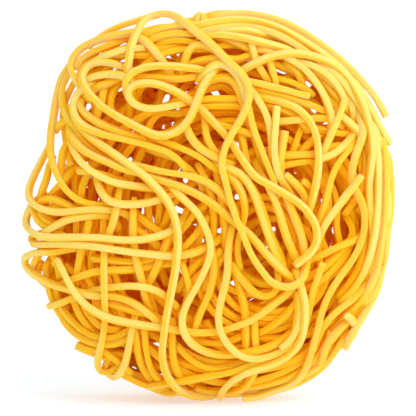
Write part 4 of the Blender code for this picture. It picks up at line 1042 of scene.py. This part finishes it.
def pasta_material():
    """Dry egg pasta: deep yellow, paler at cut ends, with grain and specks; a painted highlight on two sides
    of each strand, and painted shade in a deeper gold inside the nest.
    """
    material = bpy.data.materials.new("dry_egg_pasta_look")
    material.use_nodes = True
    nodes = material.node_tree.nodes
    links = material.node_tree.links
    shader = nodes["Principled BSDF"]

    def node(kind, **settings):
        made = nodes.new(kind)
        for key, value in settings.items():
            setattr(made, key, value)
        return made

    def noise(vector, scale, detail):
        made = node("ShaderNodeTexNoise")
        made.inputs["Scale"].default_value = scale
        made.inputs["Detail"].default_value = detail
        links.new(vector, made.inputs["Vector"])
        return made.outputs["Fac"]

    def stored(label):
        return node("ShaderNodeAttribute", attribute_name=label).outputs["Fac"]

    def remap(value, low, high, to_low, to_high):
        made = node("ShaderNodeMapRange")
        limits = {"From Min": low, "From Max": high, "To Min": to_low, "To Max": to_high}
        for socket, number in limits.items():
            made.inputs[socket].default_value = number
        links.new(value, made.inputs["Value"])
        return made.outputs["Result"]

    def mix(factor, first, second):
        made = node("ShaderNodeMix", data_type="RGBA")
        for socket, value in ((0, factor), (6, first), (7, second)):
            if isinstance(value, bpy.types.NodeSocket):
                links.new(value, made.inputs[socket])
            else:
                made.inputs[socket].default_value = value
        return made.outputs[2]

    def bump(height, strength, distance):
        made = node("ShaderNodeBump")
        made.inputs["Strength"].default_value = strength
        made.inputs["Distance"].default_value = distance
        links.new(height, made.inputs["Height"])
        return made

    stretch = node("ShaderNodeMapping")
    stretch.inputs["Scale"].default_value = (14, 0.35, 1)
    links.new(node("ShaderNodeUVMap", uv_map="grain").outputs["UV"], stretch.inputs["Vector"])
    place = node("ShaderNodeTexCoord").outputs["Object"]
    streaks = noise(stretch.outputs["Vector"], scale=1.6, detail=3)
    patches = noise(place, scale=130, detail=2)
    specks = noise(place, scale=2600, detail=2)
    painted_shade_amount = stored("painted_shade_depth")

    colour = mix(stored("tone"), DEEP_YELLOW, PALE_YELLOW)
    colour = mix(remap(patches, 0.35, 0.65, 0, 0.55), colour, RICH_YELLOW)
    # Painted highlight: two opposite sides of each strand are painted paler
    colour = mix(remap(stored("painted_highlight_side"), 0.3, 0.7, 0, 0.6), colour, CREAM_FOR_GRAIN_AND_HIGHLIGHT)
    colour = mix(remap(streaks, 0.45, 0.68, 0, 0.45), colour, CREAM_FOR_GRAIN_AND_HIGHLIGHT)
    colour = mix(remap(stored("cut_end"), 0.5, 1, 0, 0.7), colour, CUT_END)
    # Painted shade: the deeper a strand lies in the nest, the more saturated gold it is painted
    colour = mix(remap(painted_shade_amount, 0.14, 0.34, 0, 0.85), colour, PAINTED_SHADE_YELLOW)
    colour = mix(remap(painted_shade_amount, 0.3, 0.75, 0, 0.95), colour, PAINTED_DEEP_SHADE_GOLD)
    colour = mix(remap(specks, 0.62, 0.75, 0, 0.3), colour, SPECK_BROWN)
    links.new(colour, shader.inputs["Base Color"])
    links.new(remap(streaks, 0.3, 0.7, 0.46, 0.64), shader.inputs["Roughness"])
    shader.inputs["Subsurface Weight"].default_value = 0.6
    shader.inputs["Subsurface Radius"].default_value = (1, 0.4, 0.05)
    shader.inputs["Subsurface Scale"].default_value = 0.0018
    shader.inputs["IOR"].default_value = 1.45
    shader.inputs["Specular IOR Level"].default_value = 0.07
    ridges = bump(streaks, strength=0.35, distance=0.00006)
    grit = bump(specks, strength=0.25, distance=0.00003)
    links.new(ridges.outputs["Normal"], grit.inputs["Normal"])
    links.new(grit.outputs["Normal"], shader.inputs["Normal"])
    return material


def floor_material():
    """Matt white that glows a little, so that the floor runs into the white background."""
    material = bpy.data.materials.new("floor_white")
    material.use_nodes = True
    shader = material.node_tree.nodes["Principled BSDF"]
    shader.inputs["Base Color"].default_value = FLOOR_WHITE
    shader.inputs["Roughness"].default_value = 0.9
    shader.inputs["Specular IOR Level"].default_value = 0
    shader.inputs["Emission Color"].default_value = WHITE
    shader.inputs["Emission Strength"].default_value = FLOOR_GLOW
    return material


def add_floor():
    """A wide pale floor, which isn't part of the nest."""
    mesh = bpy.data.meshes.new("floor")
    corners = [(x * FLOOR_REACH, y * FLOOR_REACH, 0) for x, y in ((-1, -1), (1, -1), (1, 1), (-1, 1))]
    mesh.from_pydata(corners, [], [(0, 1, 2, 3)])
    mesh.materials.append(floor_material())
    floor = bpy.data.objects.new("floor", mesh)
    bpy.context.scene.collection.objects.link(floor)


def add_key_light():
    """A soft light from the upper right, in front of the nest."""
    data = bpy.data.lights.new("key", "AREA")
    data.energy = KEY_POWER
    data.size = KEY_SIZE
    light = bpy.data.objects.new("key", data)
    light.location = KEY_PLACE
    aim = Vector((0, 0, HALF_HEIGHT)) - Vector(KEY_PLACE)
    light.rotation_euler = aim.to_track_quat("-Z", "Y").to_euler()
    bpy.context.scene.collection.objects.link(light)


def add_world():
    """White light from all round, stronger from the right, and how the picture is brightened."""
    world = bpy.data.worlds.new("studio")
    world.use_nodes = True
    nodes = world.node_tree.nodes
    links = world.node_tree.links
    background = nodes["Background"]
    background.inputs["Color"].default_value = WHITE
    direction = nodes.new("ShaderNodeTexCoord")
    parts = nodes.new("ShaderNodeSeparateXYZ")
    strength = nodes.new("ShaderNodeMapRange")
    limits = {"From Min": -1, "From Max": 1, "To Min": WORLD_LEFT, "To Max": WORLD_RIGHT}
    for socket, number in limits.items():
        strength.inputs[socket].default_value = number
    links.new(direction.outputs["Generated"], parts.inputs["Vector"])
    links.new(parts.outputs["X"], strength.inputs["Value"])
    links.new(strength.outputs["Result"], background.inputs["Strength"])
    scene = bpy.context.scene
    scene.world = world
    scene.view_settings.view_transform = "Standard"
    scene.view_settings.gamma = DISPLAY_GAMMA
    scene.cycles.max_bounces = 16
    scene.cycles.diffuse_bounces = 12


def add_camera():
    """The camera that sees the view grid as it is drawn, level with the photo's frame."""
    eye, right, up, forward = camera_axes()
    data = bpy.data.cameras.new("camera")
    data.sensor_width = SENSOR_WIDTH
    data.lens = SENSOR_WIDTH * VIEW_DISTANCE / (FRAME_STEPS * VIEW_STEP)
    data.clip_start = 0.01
    data.clip_end = 50
    camera = bpy.data.objects.new("camera", data)
    off_x = (FRAME_MIDDLE - GRID_MIDDLE[0]) * VIEW_STEP
    off_y = (GRID_MIDDLE[1] - FRAME_MIDDLE) * VIEW_STEP
    camera.location = Vector(eye + right * off_x + up * off_y)
    camera.rotation_euler = Vector(forward).to_track_quat("-Z", "Y").to_euler()
    bpy.context.scene.collection.objects.link(camera)
    bpy.context.scene.camera = camera


def main():
    """Builds the nest's strands, then the floor, the light and the camera."""
    rng = random.Random(SEED + 1)
    material = pasta_material()
    for name, lines in build_strands().items():
        strand_piece(name, lines, material, rng)
    add_floor()
    add_world()
    add_key_light()
    add_camera()


main()
